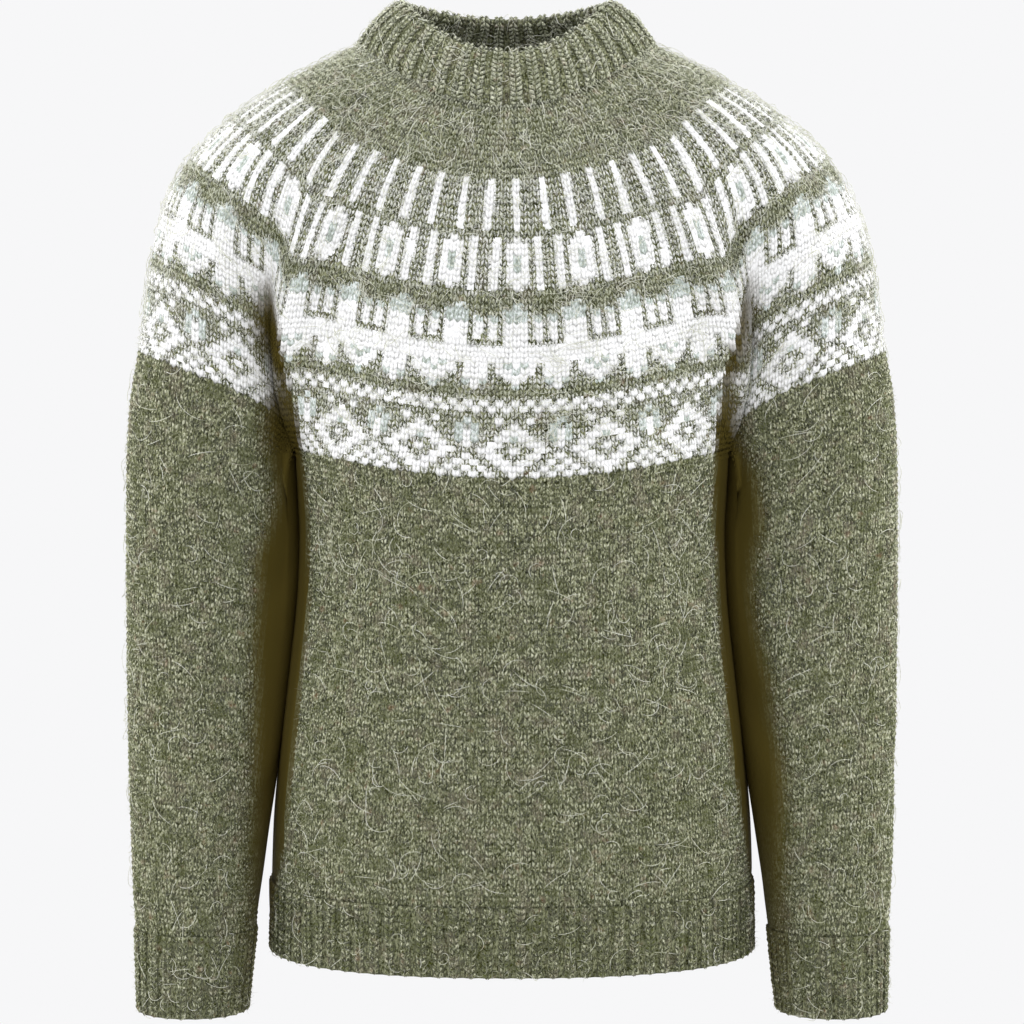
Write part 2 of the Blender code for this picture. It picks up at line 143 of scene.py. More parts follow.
# Softer waves in the cloth that only the looks carry
BODY_WAVES = (
    Fold(turn=0.30, z=-0.3000, half_length=0.060, half_width=0.014, tilt=0.20, depth=0.0012),
    Fold(turn=3.70, z=-0.3150, half_length=0.070, half_width=0.015, tilt=-0.25, depth=0.0014),
    Fold(turn=0.95, z=-0.4700, half_length=0.080, half_width=0.017, tilt=0.10, depth=0.0018),
    Fold(turn=3.05, z=-0.4800, half_length=0.070, half_width=0.018, tilt=-0.10, depth=0.0017),
    Fold(turn=1.95, z=-0.3300, half_length=0.080, half_width=0.016, tilt=0.15, depth=0.0014),
    Fold(turn=2.75, z=-0.4600, half_length=0.070, half_width=0.018, tilt=0.10, depth=0.0018),
)
SLEEVE_WAVES = (
    Fold(turn=0.55, z=-0.3300, half_length=0.030, half_width=0.012, tilt=0.70, depth=0.0012),
    Fold(turn=3.90, z=-0.5200, half_length=0.026, half_width=0.012, tilt=-0.80, depth=0.0014),
    Fold(turn=0.80, z=-0.4700, half_length=0.034, half_width=0.013, tilt=0.60, depth=0.0013),
    Fold(turn=2.60, z=-0.5000, half_length=0.034, half_width=0.014, tilt=-0.60, depth=0.0014),
    Fold(turn=1.40, z=-0.3500, half_length=0.040, half_width=0.014, tilt=0.50, depth=0.0012),
)

# The shade painted into the wool's colour between each arm and the body: how far from the middle it
# starts and ends, on the wearer's left and right, down the height
ShadeRow = namedtuple("ShadeRow", "z left_start left_end right_start right_end strength")
ARM_SHADE = (
    ShadeRow(z=-0.6450, left_start=0.1760, left_end=0.1930, right_start=0.1760, right_end=0.1900, strength=0.20),
    ShadeRow(z=-0.6000, left_start=0.1720, left_end=0.1920, right_start=0.1700, right_end=0.1880, strength=0.45),
    ShadeRow(z=-0.5470, left_start=0.1680, left_end=0.1900, right_start=0.1650, right_end=0.1841, strength=0.75),
    ShadeRow(z=-0.5124, left_start=0.1620, left_end=0.1900, right_start=0.1575, right_end=0.1834, strength=0.90),
    ShadeRow(z=-0.4778, left_start=0.1570, left_end=0.1900, right_start=0.1545, right_end=0.1810, strength=1.00),
    ShadeRow(z=-0.4501, left_start=0.1520, left_end=0.1880, right_start=0.1510, right_end=0.1810, strength=1.00),
    ShadeRow(z=-0.4224, left_start=0.1489, left_end=0.1820, right_start=0.1476, right_end=0.1800, strength=1.00),
    ShadeRow(z=-0.3947, left_start=0.1462, left_end=0.1800, right_start=0.1455, right_end=0.1790, strength=1.00),
    ShadeRow(z=-0.3670, left_start=0.1434, left_end=0.1724, right_start=0.1420, right_end=0.1800, strength=1.00),
    ShadeRow(z=-0.3393, left_start=0.1420, left_end=0.1680, right_start=0.1395, right_end=0.1770, strength=1.00),
    ShadeRow(z=-0.3116, left_start=0.1407, left_end=0.1690, right_start=0.1393, right_end=0.1780, strength=1.00),
    ShadeRow(z=-0.2874, left_start=0.1382, left_end=0.1738, right_start=0.1400, right_end=0.1690, strength=1.00),
    ShadeRow(z=-0.2701, left_start=0.1379, left_end=0.1730, right_start=0.1407, right_end=0.1650, strength=1.00),
    ShadeRow(z=-0.2528, left_start=0.1382, left_end=0.1696, right_start=0.1420, right_end=0.1660, strength=1.00),
    ShadeRow(z=-0.2355, left_start=0.1386, left_end=0.1627, right_start=0.1441, right_end=0.1703, strength=1.00),
    ShadeRow(z=-0.2182, left_start=0.1385, left_end=0.1579, right_start=0.1455, right_end=0.1724, strength=1.00),
    ShadeRow(z=-0.2043, left_start=0.1407, left_end=0.1570, right_start=0.1476, right_end=0.1720, strength=0.97),
    ShadeRow(z=-0.1905, left_start=0.1425, left_end=0.1520, right_start=0.1517, right_end=0.1650, strength=0.92),
    ShadeRow(z=-0.1766, left_start=0.1455, left_end=0.1580, right_start=0.1540, right_end=0.1690, strength=1.00),
    ShadeRow(z=-0.1628, left_start=0.1500, left_end=0.1630, right_start=0.1565, right_end=0.1740, strength=1.00),
    ShadeRow(z=-0.1489, left_start=0.1535, left_end=0.1650, right_start=0.1585, right_end=0.1770, strength=1.00),
    ShadeRow(z=-0.1351, left_start=0.1555, left_end=0.1660, right_start=0.1610, right_end=0.1770, strength=0.95),
    ShadeRow(z=-0.1212, left_start=0.1580, left_end=0.1650, right_start=0.1630, right_end=0.1730, strength=0.70),
    ShadeRow(z=-0.1080, left_start=0.1600, left_end=0.1630, right_start=0.1620, right_end=0.1650, strength=0.00),
)
# How softly the painted shade starts on the body and ends on the arm
SHADE_BODY_EDGE = 0.0028
SHADE_ARM_EDGE = 0.0110
PRESS_TOP = -0.2350
PRESS_FADE = 0.0150
PRESS_SWELL = 0.0013

# ---------------------------------------------------------------- knitting

BODY_WALES = 176
BODY_COURSES = 74
SLEEVE_WALE = 0.0054
SLEEVE_COURSES = 94
HEM_COURSES = 12
CUFF_COURSES = 14
NECK_COURSES = 26
# Painted shade in the rib's grooves: how much darker the purl stitches down in them are, in the tone's own measure
GROOVE_PAINTED_SHADE = 0.6
YOKE_TWIST = 0.0085
YOKE_BLOOM = 0.21
FUZZ_COUNT = 34000
HAIR_COUNT = 5600


class Yarn(Enum):
    """The yarns, by the letter that a chart uses and the number that a stitch carries."""

    OLIVE = (".", 0.0)
    MIST = ("m", 0.5)
    WHITE = ("o", 1.0)

    @classmethod
    def number(cls, letter: str) -> float:
        """The number that a stitch of this letter carries."""
        return next(yarn.value[1] for yarn in cls if yarn.value[0] == letter)


@dataclass(frozen=True)
class Band:
    """Rows of the yoke that share one repeat.

    Args:
        depth_mm: How much of the front's length the rows take, in mm.
        stitches: Stitches once round in each of the rows.
        chart: One repeat, a line of letters for each row. The first letter lies on the front's middle.
    """

    depth_mm: float
    stitches: int
    chart: tuple[str, ...]


# From the neckband down. The repeats are counted off, and every one starts at the front's middle.
YOKE_BANDS = (
    Band(17.5, 144, (".",) * 4),
    Band(19.5, 180, (".",) * 5),
    Band(16.2, 228, (".",) * 4),
    Band(35.0, 228, ("o...",) * 8),
    Band(4.8, 243, (".",)),
    Band(
        35.5,
        243,
        (
            "o..o..o..",
            "oo.o..o.o",
            "oo.o..o.o",
            "mo.o..o.o",
            "mo.o..o.o",
            "mo.o..o.o",
            "oo.o..o.o",
            "oo.o..o.o",
            "o..o..o..",
        ),
    ),
    Band(9.4, 264, (".", ".")),
    Band(
        28.7,
        264,
        (
            "m.......",
            "mm.....m",
            "mm.m.m.m",
            "oo.o.o.o",
            "oo.o.o.o",
            "oo.o.o.o",
            "oo.....o",
        ),
    ),
    Band(6.9, 264, ("o", "o")),
    Band(
        21.5,
        250,
        (
            "oooooooooo",
            "omo.ooo.om",
            "moo.ooo.oo",
            "oo..ooo..o",
            "o...mom...",
            "m....o....",
        ),
    ),
    Band(7.7, 264, (".", ".")),
    Band(7.8, 276, ("o.", ".o")),
    Band(7.6, 276, ("." * 12, "..o...m...o.")),
    Band(
        35.8,
        276,
        (
            "o....m.m....",
            "oo...mom...o",
            "moo..mom..oo",
            "..oo..o..oo.",
            "o..oo...oo..",
            "..oo..o..oo.",
            ".oo..o.o..oo",
            "oo..o.o.o..o",
            "o..o.o.o.o..",
        ),
    ),
)


def unit(vectors: np.ndarray) -> np.ndarray:
    """Vectors of length one."""
    return vectors / np.linalg.norm(vectors, axis=-1, keepdims=True)


def ease(fraction: np.ndarray | float) -> np.ndarray:
    """0 to 1 with level ends."""
    return 0.5 - 0.5 * np.cos(np.pi * np.clip(fraction, 0.0, 1.0))


def spread(curve: np.ndarray, steps: int) -> np.ndarray:
    """Points at equal distances along a finely drawn curve, both ends included."""
    lengths = np.linalg.norm(np.diff(curve, axis=0), axis=1)
    along = np.concatenate(([0.0], np.cumsum(lengths)))
    places = np.linspace(0.0, along[-1], steps + 1)
    return np.stack([np.interp(places, along, curve[:, axis]) for axis in range(curve.shape[1])], axis=1)


def surface_normals(grid: np.ndarray) -> np.ndarray:
    """Directions out of a grid of closed rings."""
    down = np.gradient(grid, axis=0)
    run = np.roll(grid, -1, axis=1) - np.roll(grid, 1, axis=1)
    return unit(np.cross(down, run))


def arm_shade(points: np.ndarray) -> np.ndarray:
    """How deep each point lies in the shade painted between arm and body, 0 to 1."""
    z, x = points[..., 2], points[..., 0]
    heights = [row.z for row in ARM_SHADE]
    column = {name: np.interp(z, heights, [getattr(row, name) for row in ARM_SHADE]) for name in ShadeRow._fields}
    start = np.where(x > 0.0, column["left_start"], column["right_start"])
    end = np.where(x > 0.0, column["left_end"], column["right_end"])
    past_start = ease((np.abs(x) - start + SHADE_BODY_EDGE) / (2 * SHADE_BODY_EDGE))
    past_end = ease((np.abs(x) - end + SHADE_ARM_EDGE) / (2 * SHADE_ARM_EDGE))
    return column["strength"] * past_start * (1.0 - past_end)


def pressed_flat(points: np.ndarray) -> np.ndarray:
    """How far each point is pressed smooth between a sleeve and the body, 0 to 1."""
    deep = ease((arm_shade(points) - 0.45) / 0.4)
    return deep * ease((PRESS_TOP - points[..., 2]) / PRESS_FADE)


@dataclass
class Tube:
    """The smooth surface of a knitted tube.

    Args:
        points: Rings of points at equal distances, from the upper edge to the lower one.
        normals: The direction out of the cloth at each point.
    """

    points: np.ndarray
    normals: np.ndarray

    def at(self, turn: np.ndarray, drop: np.ndarray, lift: np.ndarray | float) -> np.ndarray:
        """Points at these places, raised out of the cloth.

        Args:
            turn: Place round the tube, once round for each whole number.
            drop: Place down the tube. Past its ends the surface runs on straight.
            lift: Distance out of the cloth, in metres.

        Returns:
            The points, in metres.
        """
        place = self._mix(self.points, turn, drop)
        normal = unit(self._mix(self.normals, turn, drop))
        return place + normal * np.asarray(lift)[..., None]

    def _mix(self, field: np.ndarray, turn: np.ndarray, drop: np.ndarray) -> np.ndarray:
        """A field of the grid between its points.

        Args:
            field: One vector for each point of the grid.
            turn: Places round the tube.
            drop: Places down the tube.

        Returns:
            The field's vectors at those places.
        """
        rows, columns = field.shape[:2]
        row = drop * (rows - 1)
        upper = np.clip(np.floor(row).astype(int), 0, rows - 2)
        row_share = (row - upper)[..., None]
        column = (turn % 1.0) * columns
        left = np.floor(column).astype(int) % columns
        column_share = (column - np.floor(column))[..., None]
        right = (left + 1) % columns
        high = field[upper, left] * (1 - column_share) + field[upper, right] * column_share
        low = field[upper + 1, left] * (1 - column_share) + field[upper + 1, right] * column_share
        return high * (1 - row_share) + low * row_share

    def girth(self, drop: np.ndarray) -> np.ndarray:
        """Distance once round at these drops, in metres."""
        rings = np.linalg.norm(np.roll(self.points, -1, axis=1) - self.points, axis=2).sum(axis=1)
        return np.interp(drop, np.linspace(0.0, 1.0, len(rings)), rings)

    def length(self) -> float:
        """Mean distance from the upper edge to the lower one, in metres."""
        return float(np.linalg.norm(np.diff(self.points, axis=0), axis=2).sum(axis=0).mean())


class PulloverForm:
    """The surfaces of the pullover, from the same size tables as the solids, drawn finer."""

    COLUMNS = 528
    ROWS = 150
    SUBSTEPS = 14

    def __init__(self) -> None:
        """Work out the ring that yoke, body and sleeves share."""
        self.strip = self._half_strip(BODY_TOP, UNDERARM_X)
        self.ring = self._shared_ring()

    @staticmethod
    def _oval(half_width: float, front: float, back: float, squareness: float) -> np.ndarray:
        """A fine curve in plan, round the +X side from the front to the back."""
        turn = np.radians(np.linspace(-90.0, 90.0, CURVE_STEPS + 1))
        power = 2.0 / squareness
        depth = np.where(np.sin(turn) < 0.0, front, back)
        x = half_width * np.abs(np.cos(turn)) ** power
        y = depth * np.sign(np.sin(turn)) * np.abs(np.sin(turn)) ** power
        return np.stack([x, y], axis=1)

    def _body_plan(self, row: BodyRow, flat_x: float | None = None) -> np.ndarray:
        """The body's half ring in plan, cut flat at flat_x where the arm's tube lies against it."""
        curve = self._oval(row.half_width, row.front, row.back, BODY_SQUARENESS)
        if flat_x is not None:
            curve[:, 0] = np.minimum(curve[:, 0], flat_x)
        return curve

    def _half_strip(self, row: BodyRow, flat_x: float) -> float:
        """Half the depth of the flat where a top ring is cut at flat_x."""
        curve = self._body_plan(row, flat_x)
        return float(-curve[curve[:, 0] >= flat_x][0, 1])

    @staticmethod
    def _split_body(curve: np.ndarray, half_strip: float) -> tuple[np.ndarray, np.ndarray, np.ndarray]:
        """Front, underarm and back parts of a body half ring, by depth from the middle."""
        front = curve[curve[:, 1] <= -half_strip]
        strip = curve[(curve[:, 1] > -half_strip) & (curve[:, 1] < half_strip)]
        back = curve[curve[:, 1] >= half_strip]
        strip = np.concatenate((front[-1:], strip, back[:1]))
        return spread(front, FRONT_STEPS), spread(strip, UNDERARM_STEPS), spread(back, BACK_STEPS)

    @staticmethod
    def _sleeve_plan(row: SleeveRow, flat_x: float | None = None) -> np.ndarray:
        """The left sleeve's ring in plan, from its inner side round the front, out and back."""
        middle = 0.5 * (row.inner + row.outer)
        half_width = 0.5 * (row.outer - row.inner)
        turn = np.radians(np.linspace(-180.0, 180.0, 2 * CURVE_STEPS + 1))
        power = 2.0 / SLEEVE_SQUARENESS
        x = middle + half_width * np.sign(np.cos(turn)) * np.abs(np.cos(turn)) ** power
        y = row.middle_y + row.half_depth * np.sign(np.sin(turn)) * np.abs(np.sin(turn)) ** power
        if flat_x is not None:
            x = np.maximum(x, flat_x)
        return np.stack([x, y], axis=1)

    @staticmethod
    def _split_sleeve(
        curve: np.ndarray, middle_x: float, middle_y: float, half_strip: float
    ) -> tuple[np.ndarray, np.ndarray]:
        """The sleeve's outer arc, front to back, and the strip under the arm, back to front."""
        inner_side = (curve[:, 0] < middle_x) & (np.abs(curve[:, 1] - middle_y) < half_strip)
        arc = curve[~inner_side]
        strip = curve[inner_side]
        upper = strip[strip[:, 1] >= middle_y]
        lower = strip[strip[:, 1] < middle_y]
        strip = np.concatenate((arc[-1:], upper, lower, arc[:1]))
        return spread(arc, SLEEVE_STEPS), spread(strip, UNDERARM_STEPS)

    def _shared_ring(self) -> dict[str, np.ndarray]:
        """The parts of the ring where yoke, body and left sleeve meet."""
        front, under, back = self._split_body(self._body_plan(BODY_TOP, UNDERARM_X), self.strip)
        middle_x = 0.5 * (SLEEVE_TOP.inner + SLEEVE_TOP.outer)
        plan = self._sleeve_plan(SLEEVE_TOP, UNDERARM_X)
        arc, sleeve_under = self._split_sleeve(plan, middle_x, SLEEVE_TOP.middle_y, self.strip)
        arc[0] = front[-1]
        arc[-1] = back[0]
        front_z = FRONT_END_Z + (UNDERARM_Z - FRONT_END_Z) * ease(np.linspace(0.0, 1.0, FRONT_STEPS + 1))
        back_z = UNDERARM_Z + (BACK_END_Z - UNDERARM_Z) * ease(np.linspace(0.0, 1.0, BACK_STEPS + 1))
        outward = np.clip((arc[:, 0] - UNDERARM_X) / (SLEEVE_TOP.outer - UNDERARM_X), 0.0, 1.0)
        arc_z = UNDERARM_Z + (SHOULDER_END_Z - UNDERARM_Z) * outward**CLIMB_POWER
        level = np.full(UNDERARM_STEPS + 1, UNDERARM_Z)
        return {
            "front": np.column_stack([front, front_z]),
            "under": np.column_stack([under, level]),
            "back": np.column_stack([back, back_z]),
            "arc": np.column_stack([arc, arc_z]),
            "sleeve_under": np.column_stack([sleeve_under, level]),
        }

    @staticmethod
    def _mirrored(half: np.ndarray) -> np.ndarray:
        """A whole ring from its +X half, which runs from the front middle to the back middle."""
        return np.concatenate((half, half[-2:0:-1] * np.array([-1.0, 1.0, 1.0])))

    @staticmethod
    def _neck_ring(ring: NeckRing, fractions: np.ndarray) -> np.ndarray:
        """Half a ring of the neckband, with points at these fractions of its length."""
        curve = PulloverForm._oval(ring.half_width, ring.front, ring.back, 2.0)
        lengths = np.linalg.norm(np.diff(curve, axis=0), axis=1)
        along = np.concatenate(([0.0], np.cumsum(lengths)))
        places = fractions * along[-1]
        plan = np.stack([np.interp(places, along, curve[:, axis]) for axis in (0, 1)], axis=1)
        rise = (plan[:, 0] / ring.half_width) ** 2
        ends = np.where(plan[:, 1] < 0.0, ring.z_front, ring.z_back)
        return np.column_stack([plan, ends + (ring.z_side - ends) * rise])

    def _finished(self, grid: np.ndarray, folds: Sequence[Fold] = (), smooth: bool = True) -> Tube:
        """A tube from rough rings: smoothed down its length, evenly spaced and folded.

        Args:
            grid: Rings of points, the upper one first.
            folds: Folds that draw the cloth in.
            smooth: Whether the rings are few and want a curve drawn through them.

        Returns:
            The tube.
        """
        if smooth:
            grid = self._curve_down(grid)
        closed = np.concatenate((grid, grid[:, :1]), axis=1)
        even = np.array([spread(ring, self.COLUMNS)[:-1] for ring in closed])
        columns = [spread(even[:, column], self.ROWS) for column in range(self.COLUMNS)]
        even = np.stack(columns, axis=1)
        if folds:
            even = even - surface_normals(even) * self._fold_depths(even, folds)[..., None]
        return Tube(even, surface_normals(even))

    def _curve_down(self, grid: np.ndarray) -> np.ndarray:
        """A smooth curve through each column of rings, which passes through every ring."""
        padded = np.concatenate((2 * grid[:1] - grid[1:2], grid, 2 * grid[-1:] - grid[-2:-1]))
        rows = []
        for first in range(len(grid) - 1):
            before, start, end, after = padded[first : first + 4]
            for t in np.arange(self.SUBSTEPS) / self.SUBSTEPS:
                line = (2 * start + (end - before) * t) + (2 * before - 5 * start + 4 * end - after) * t**2
                rows.append(0.5 * (line + (3 * start - before - 3 * end + after) * t**3))
        rows.append(grid[-1])
        return np.array(rows)

    @staticmethod
    def _fold_depths(grid: np.ndarray, folds: Sequence[Fold]) -> np.ndarray:
        """How far each point of a tube is drawn in by its folds."""
        depths = np.zeros(grid.shape[:2])
        middles = grid.mean(axis=1, keepdims=True)
        turns = np.arctan2(grid[..., 0] - middles[..., 0], -(grid[..., 1] - middles[..., 1])) / (0.5 * np.pi)
        radii = np.linalg.norm((grid - middles)[..., :2], axis=-1)
        for fold in folds:
            down = grid[..., 2] - fold.z
            apart = (turns - fold.turn + 2.0) % 4.0 - 2.0
            across = apart * 0.5 * np.pi * radii - fold.tilt * down
            depths += fold.depth * np.exp(-((across / fold.half_width) ** 2) - (down / fold.half_length) ** 2)
        return depths

    def yoke(self) -> Tube:
        """The yoke, from the neckband to the ring that it shares with body and sleeves."""
        ring = self.ring
        low = np.concatenate((ring["front"], ring["arc"][1:], ring["back"][1:]))
        steps = np.linalg.norm(np.diff(low, axis=0), axis=1)
        fractions = np.concatenate(([0.0], np.cumsum(steps))) / steps.sum()
        top = self._neck_ring(NECK_BASE, fractions)
        outward = np.column_stack([top[:, 0] / NECK_BASE.half_width**2, top[:, 1] / NECK_BASE.front**2])
        outward = unit(outward)
        side = outward[:, 0] ** 2
        ends = [np.where(top[:, 1] < 0.0, front, back) for front, back in zip(YOKE_FRONT, YOKE_BACK)]
        slope, start_reach, end_reach = [end + (mid - end) * side for end, mid in zip(ends, YOKE_SIDE)]
        slope = np.radians(slope)
        start = np.column_stack([outward * np.cos(slope)[:, None], -np.sin(slope)])
        lean = SHOULDER_LEAN * np.clip((low[:, 0] - UNDERARM_X) / (SLEEVE_TOP.outer - UNDERARM_X), 0.0, 1.0)
        finish = np.column_stack([lean, np.zeros(len(low)), np.full(len(low), -1.0)])
        for corner, depth_sign in ((ring["front"][-1], 1.0), (ring["back"][0], -1.0)):
            near = np.exp(-((np.linalg.norm(low - corner, axis=1) / CREASE_WIDTH) ** 2))[:, None]
            run = np.array(CREASE_RUN) * np.array([1.0, depth_sign, 1.0])
            finish = finish * (1.0 - near) + run * near
        finish = unit(finish)
        after = top + start * start_reach[:, None]
        before = low - finish * end_reach[:, None]
        rows = []
        for t in np.linspace(0.0, 1.0, self.ROWS + 1):
            upper = (1 - t) ** 3 * top + 3 * (1 - t) ** 2 * t * after
            lower = 3 * (1 - t) * t**2 * before + t**3 * low
            rows.append(self._mirrored(upper + lower) + np.array([NECK_SHIFT * (1.0 - ease(t)), 0.0, 0.0]))
        return self._finished(np.array(rows), smooth=False)

    def _body_rows(self, tables: Sequence[BodyRow]) -> np.ndarray:
        """Rings of the body at these rows of its table."""
        top = np.concatenate((self.ring["front"], self.ring["under"][1:], self.ring["back"][1:]))
        lift = top[:, 2] - UNDERARM_Z
        rings = []
        for row in tables:
            if row is BODY_TOP:
                rings.append(self._mirrored(top))
                continue
            plan = np.concatenate([part[min(n, 1) :] for n, part in enumerate(self._split_body(self._body_plan(row), self.strip))])
            fade = 1.0 - ease((UNDERARM_Z - row.z) / SLANT_DROP)
            rings.append(self._mirrored(np.column_stack([plan, row.z + lift * fade])))
        return np.array(rings)

    def body(self) -> Tube:
        """The body, from the shared ring down to the hem rib."""
        return self._finished(self._body_rows((BODY_TOP, *BODY_ROWS)), BODY_FOLDS + BODY_WAVES)

    def hem(self) -> Tube:
        """The hem rib, at the foot of its grooves."""
        return self._finished(self._body_rows((BODY_ROWS[-1], HEM_BOTTOM)))

    def _sleeve_rows(self, tables: Sequence[SleeveRow]) -> np.ndarray:
        """Rings of the left sleeve at these rows of its table, each starting at its outer middle."""
        top = np.concatenate((self.ring["arc"], self.ring["sleeve_under"][1:-1]))
        lift = top[:, 2] - UNDERARM_Z
        rings = []
        for row in tables:
            if row is SLEEVE_TOP:
                ring = top
            else:
                narrow = self.strip * row.half_depth / SLEEVE_TOP.half_depth
                middle_x = 0.5 * (row.inner + row.outer)
                arc, under = self._split_sleeve(self._sleeve_plan(row), middle_x, row.middle_y, narrow)
                fade = 1.0 - ease((UNDERARM_Z - row.z) / (SLANT_DROP * 2.0))
                ring = np.column_stack([np.concatenate((arc, under[1:-1])), row.z + lift * fade])
            rings.append(np.roll(ring, -SLEEVE_STEPS // 2, axis=0))
        return np.array(rings)

    @staticmethod
    def _on_right(grid: np.ndarray) -> np.ndarray:
        """The same tube on the other side of the body, still run the same way round."""
        other = (grid * np.array([-1.0, 1.0, 1.0]))[:, ::-1]
        return np.roll(other, 1, axis=1)

    def sleeve(self, side: str) -> Tube:
        """A sleeve, from the shared ring down to its cuff."""
        grid = self._sleeve_rows((SLEEVE_TOP, *SLEEVE_ROWS))
        if side == "right":
            return self._finished(self._on_right(grid), RIGHT_FOLDS + SLEEVE_WAVES)
        return self._finished(grid, LEFT_FOLDS + SLEEVE_WAVES)

    def cuff(self, side: str) -> Tube:
        """A cuff, at the foot of its grooves."""
        grid = self._sleeve_rows((SLEEVE_ROWS[-1], CUFF_BOTTOM))
        return self._finished(self._on_right(grid) if side == "right" else grid)

    def neckband(self) -> Tube:
        """The doubled neckband in one run: up its inside, over the rim and down its outside."""
        fractions = np.linspace(0.0, 1.0, self.COLUMNS // 2 + 1)
        shift = np.array([NECK_SHIFT, 0.0, 0.0])
        base = self._mirrored(self._neck_ring(NECK_BASE, fractions)) + shift
        rim = self._mirrored(self._neck_ring(NECK_RIM, fractions)) + shift
        slant = unit(rim - base)
        out = unit(np.cross(np.roll(base, -1, axis=0) - np.roll(base, 1, axis=0), slant))
        radius = 0.5 * BAND_WALL
        rows = []
        for place in np.linspace(0.0, 0.93, 30):
            middle = base + (rim - base) * place + out * NECK_BULGE * np.sin(np.pi * place)
            rows.append(middle - out * BAND_WALL)
        crown = rows[-1] + out * radius
        for angle in np.linspace(0.15, 0.85, 6) * np.pi:
            rows.append(crown - out * radius * np.cos(angle) + slant * radius * np.sin(angle))
        for place in np.linspace(0.93, 0.0, 30):
            rows.append(base + (rim - base) * place + out * NECK_BULGE * np.sin(np.pi * place))
        return self._finished(np.array(rows), smooth=False)


# ---------------------------------------------------------------- finishes


def linear(hex_colour: str) -> tuple[float, float, float, float]:
    """A shader colour from an sRGB one.

    Args:
        hex_colour: Six hexadecimal digits.

    Returns:
        Linear red, green, blue and an alpha of 1.
    """
    parts = [int(hex_colour[start : start + 2], 16) / 255 for start in (0, 2, 4)]
    shares = [part / 12.92 if part <= 0.04045 else ((part + 0.055) / 1.055) ** 2.4 for part in parts]
    return (*shares, 1.0)


@dataclass(frozen=True)
class WoolFinish:
    """What the eye gets from one of the pullover's wools.

    Args:
        name: The material's name.
        dark: The heather's darkest fibres.
        middle: Its body colour.
        light: Its palest flecks.
        blush: A warm tint that comes and goes in patches.
        moss: A deeper green that comes and goes in other patches.
        rust: A reddish brown in a few small spots.
        shade: The painted shade's colour, deep between arm and body.
        nook: A lighter painted shade where the two touch, standing in for light thrown back and forth there.
        white: The undyed yarn of the pattern.
        mist: The pale blue-grey yarn of the pattern.
        fleck_mm: How far apart the flecks are.
        patch_mm: How far apart the warm patches are.
        sheen: How much the loose surface fibres catch grazing light.
        bump_mm: How deep the fibres' relief is.
    """

    name: str
    dark: str
    middle: str
    light: str
    blush: str
    moss: str = "4d5414"
    rust: str = "7a4a30"
    # The painted shade between arm and body, and its lighter part where the two touch
    shade: str = "4c4218"
    nook: str = "6c5e2a"
    white: str = "fefeff"
    mist: str = "d4dddb"
    fleck_mm: float = 1.2
    patch_mm: float = 13.0
    sheen: float = 0.27
    bump_mm: float = 0.35


# Heathered sheep's wool: olive with pale grey-green and brown fibres carded in, quite matt, with a soft bloom
STITCH_WOOL = WoolFinish("heathered_wool_yarn", dark="171b03", middle="5a5f2c", light="d4d5bc", blush="857668")
# The same wool seen down between the stitches and from inside, its colours painted darker as shade, where little light
# gets in
GROUND_WOOL = WoolFinish(
    "heathered_wool_ground",
    dark="1f210a",
    middle="444724",
    light="8f9270",
    blush="524a3a",
    moss="3a3e12",
    rust="5c3d2c",
    white="fafafb",
    mist="b4bfbc",
    sheen=0.1,
)
# Single fibres that stand out of the yarn, paler than it as light passes through them
FIBRE_WOOL = WoolFinish(
    "loose_wool_fibre",
    dark="c2c4b0",
    middle="dedfd2",
    light="f6f6f1",
    blush="d0ccc4",
    moss="b6b892",
    rust="c0a48f",
    sheen=0.5,
    bump_mm=0.0,
)


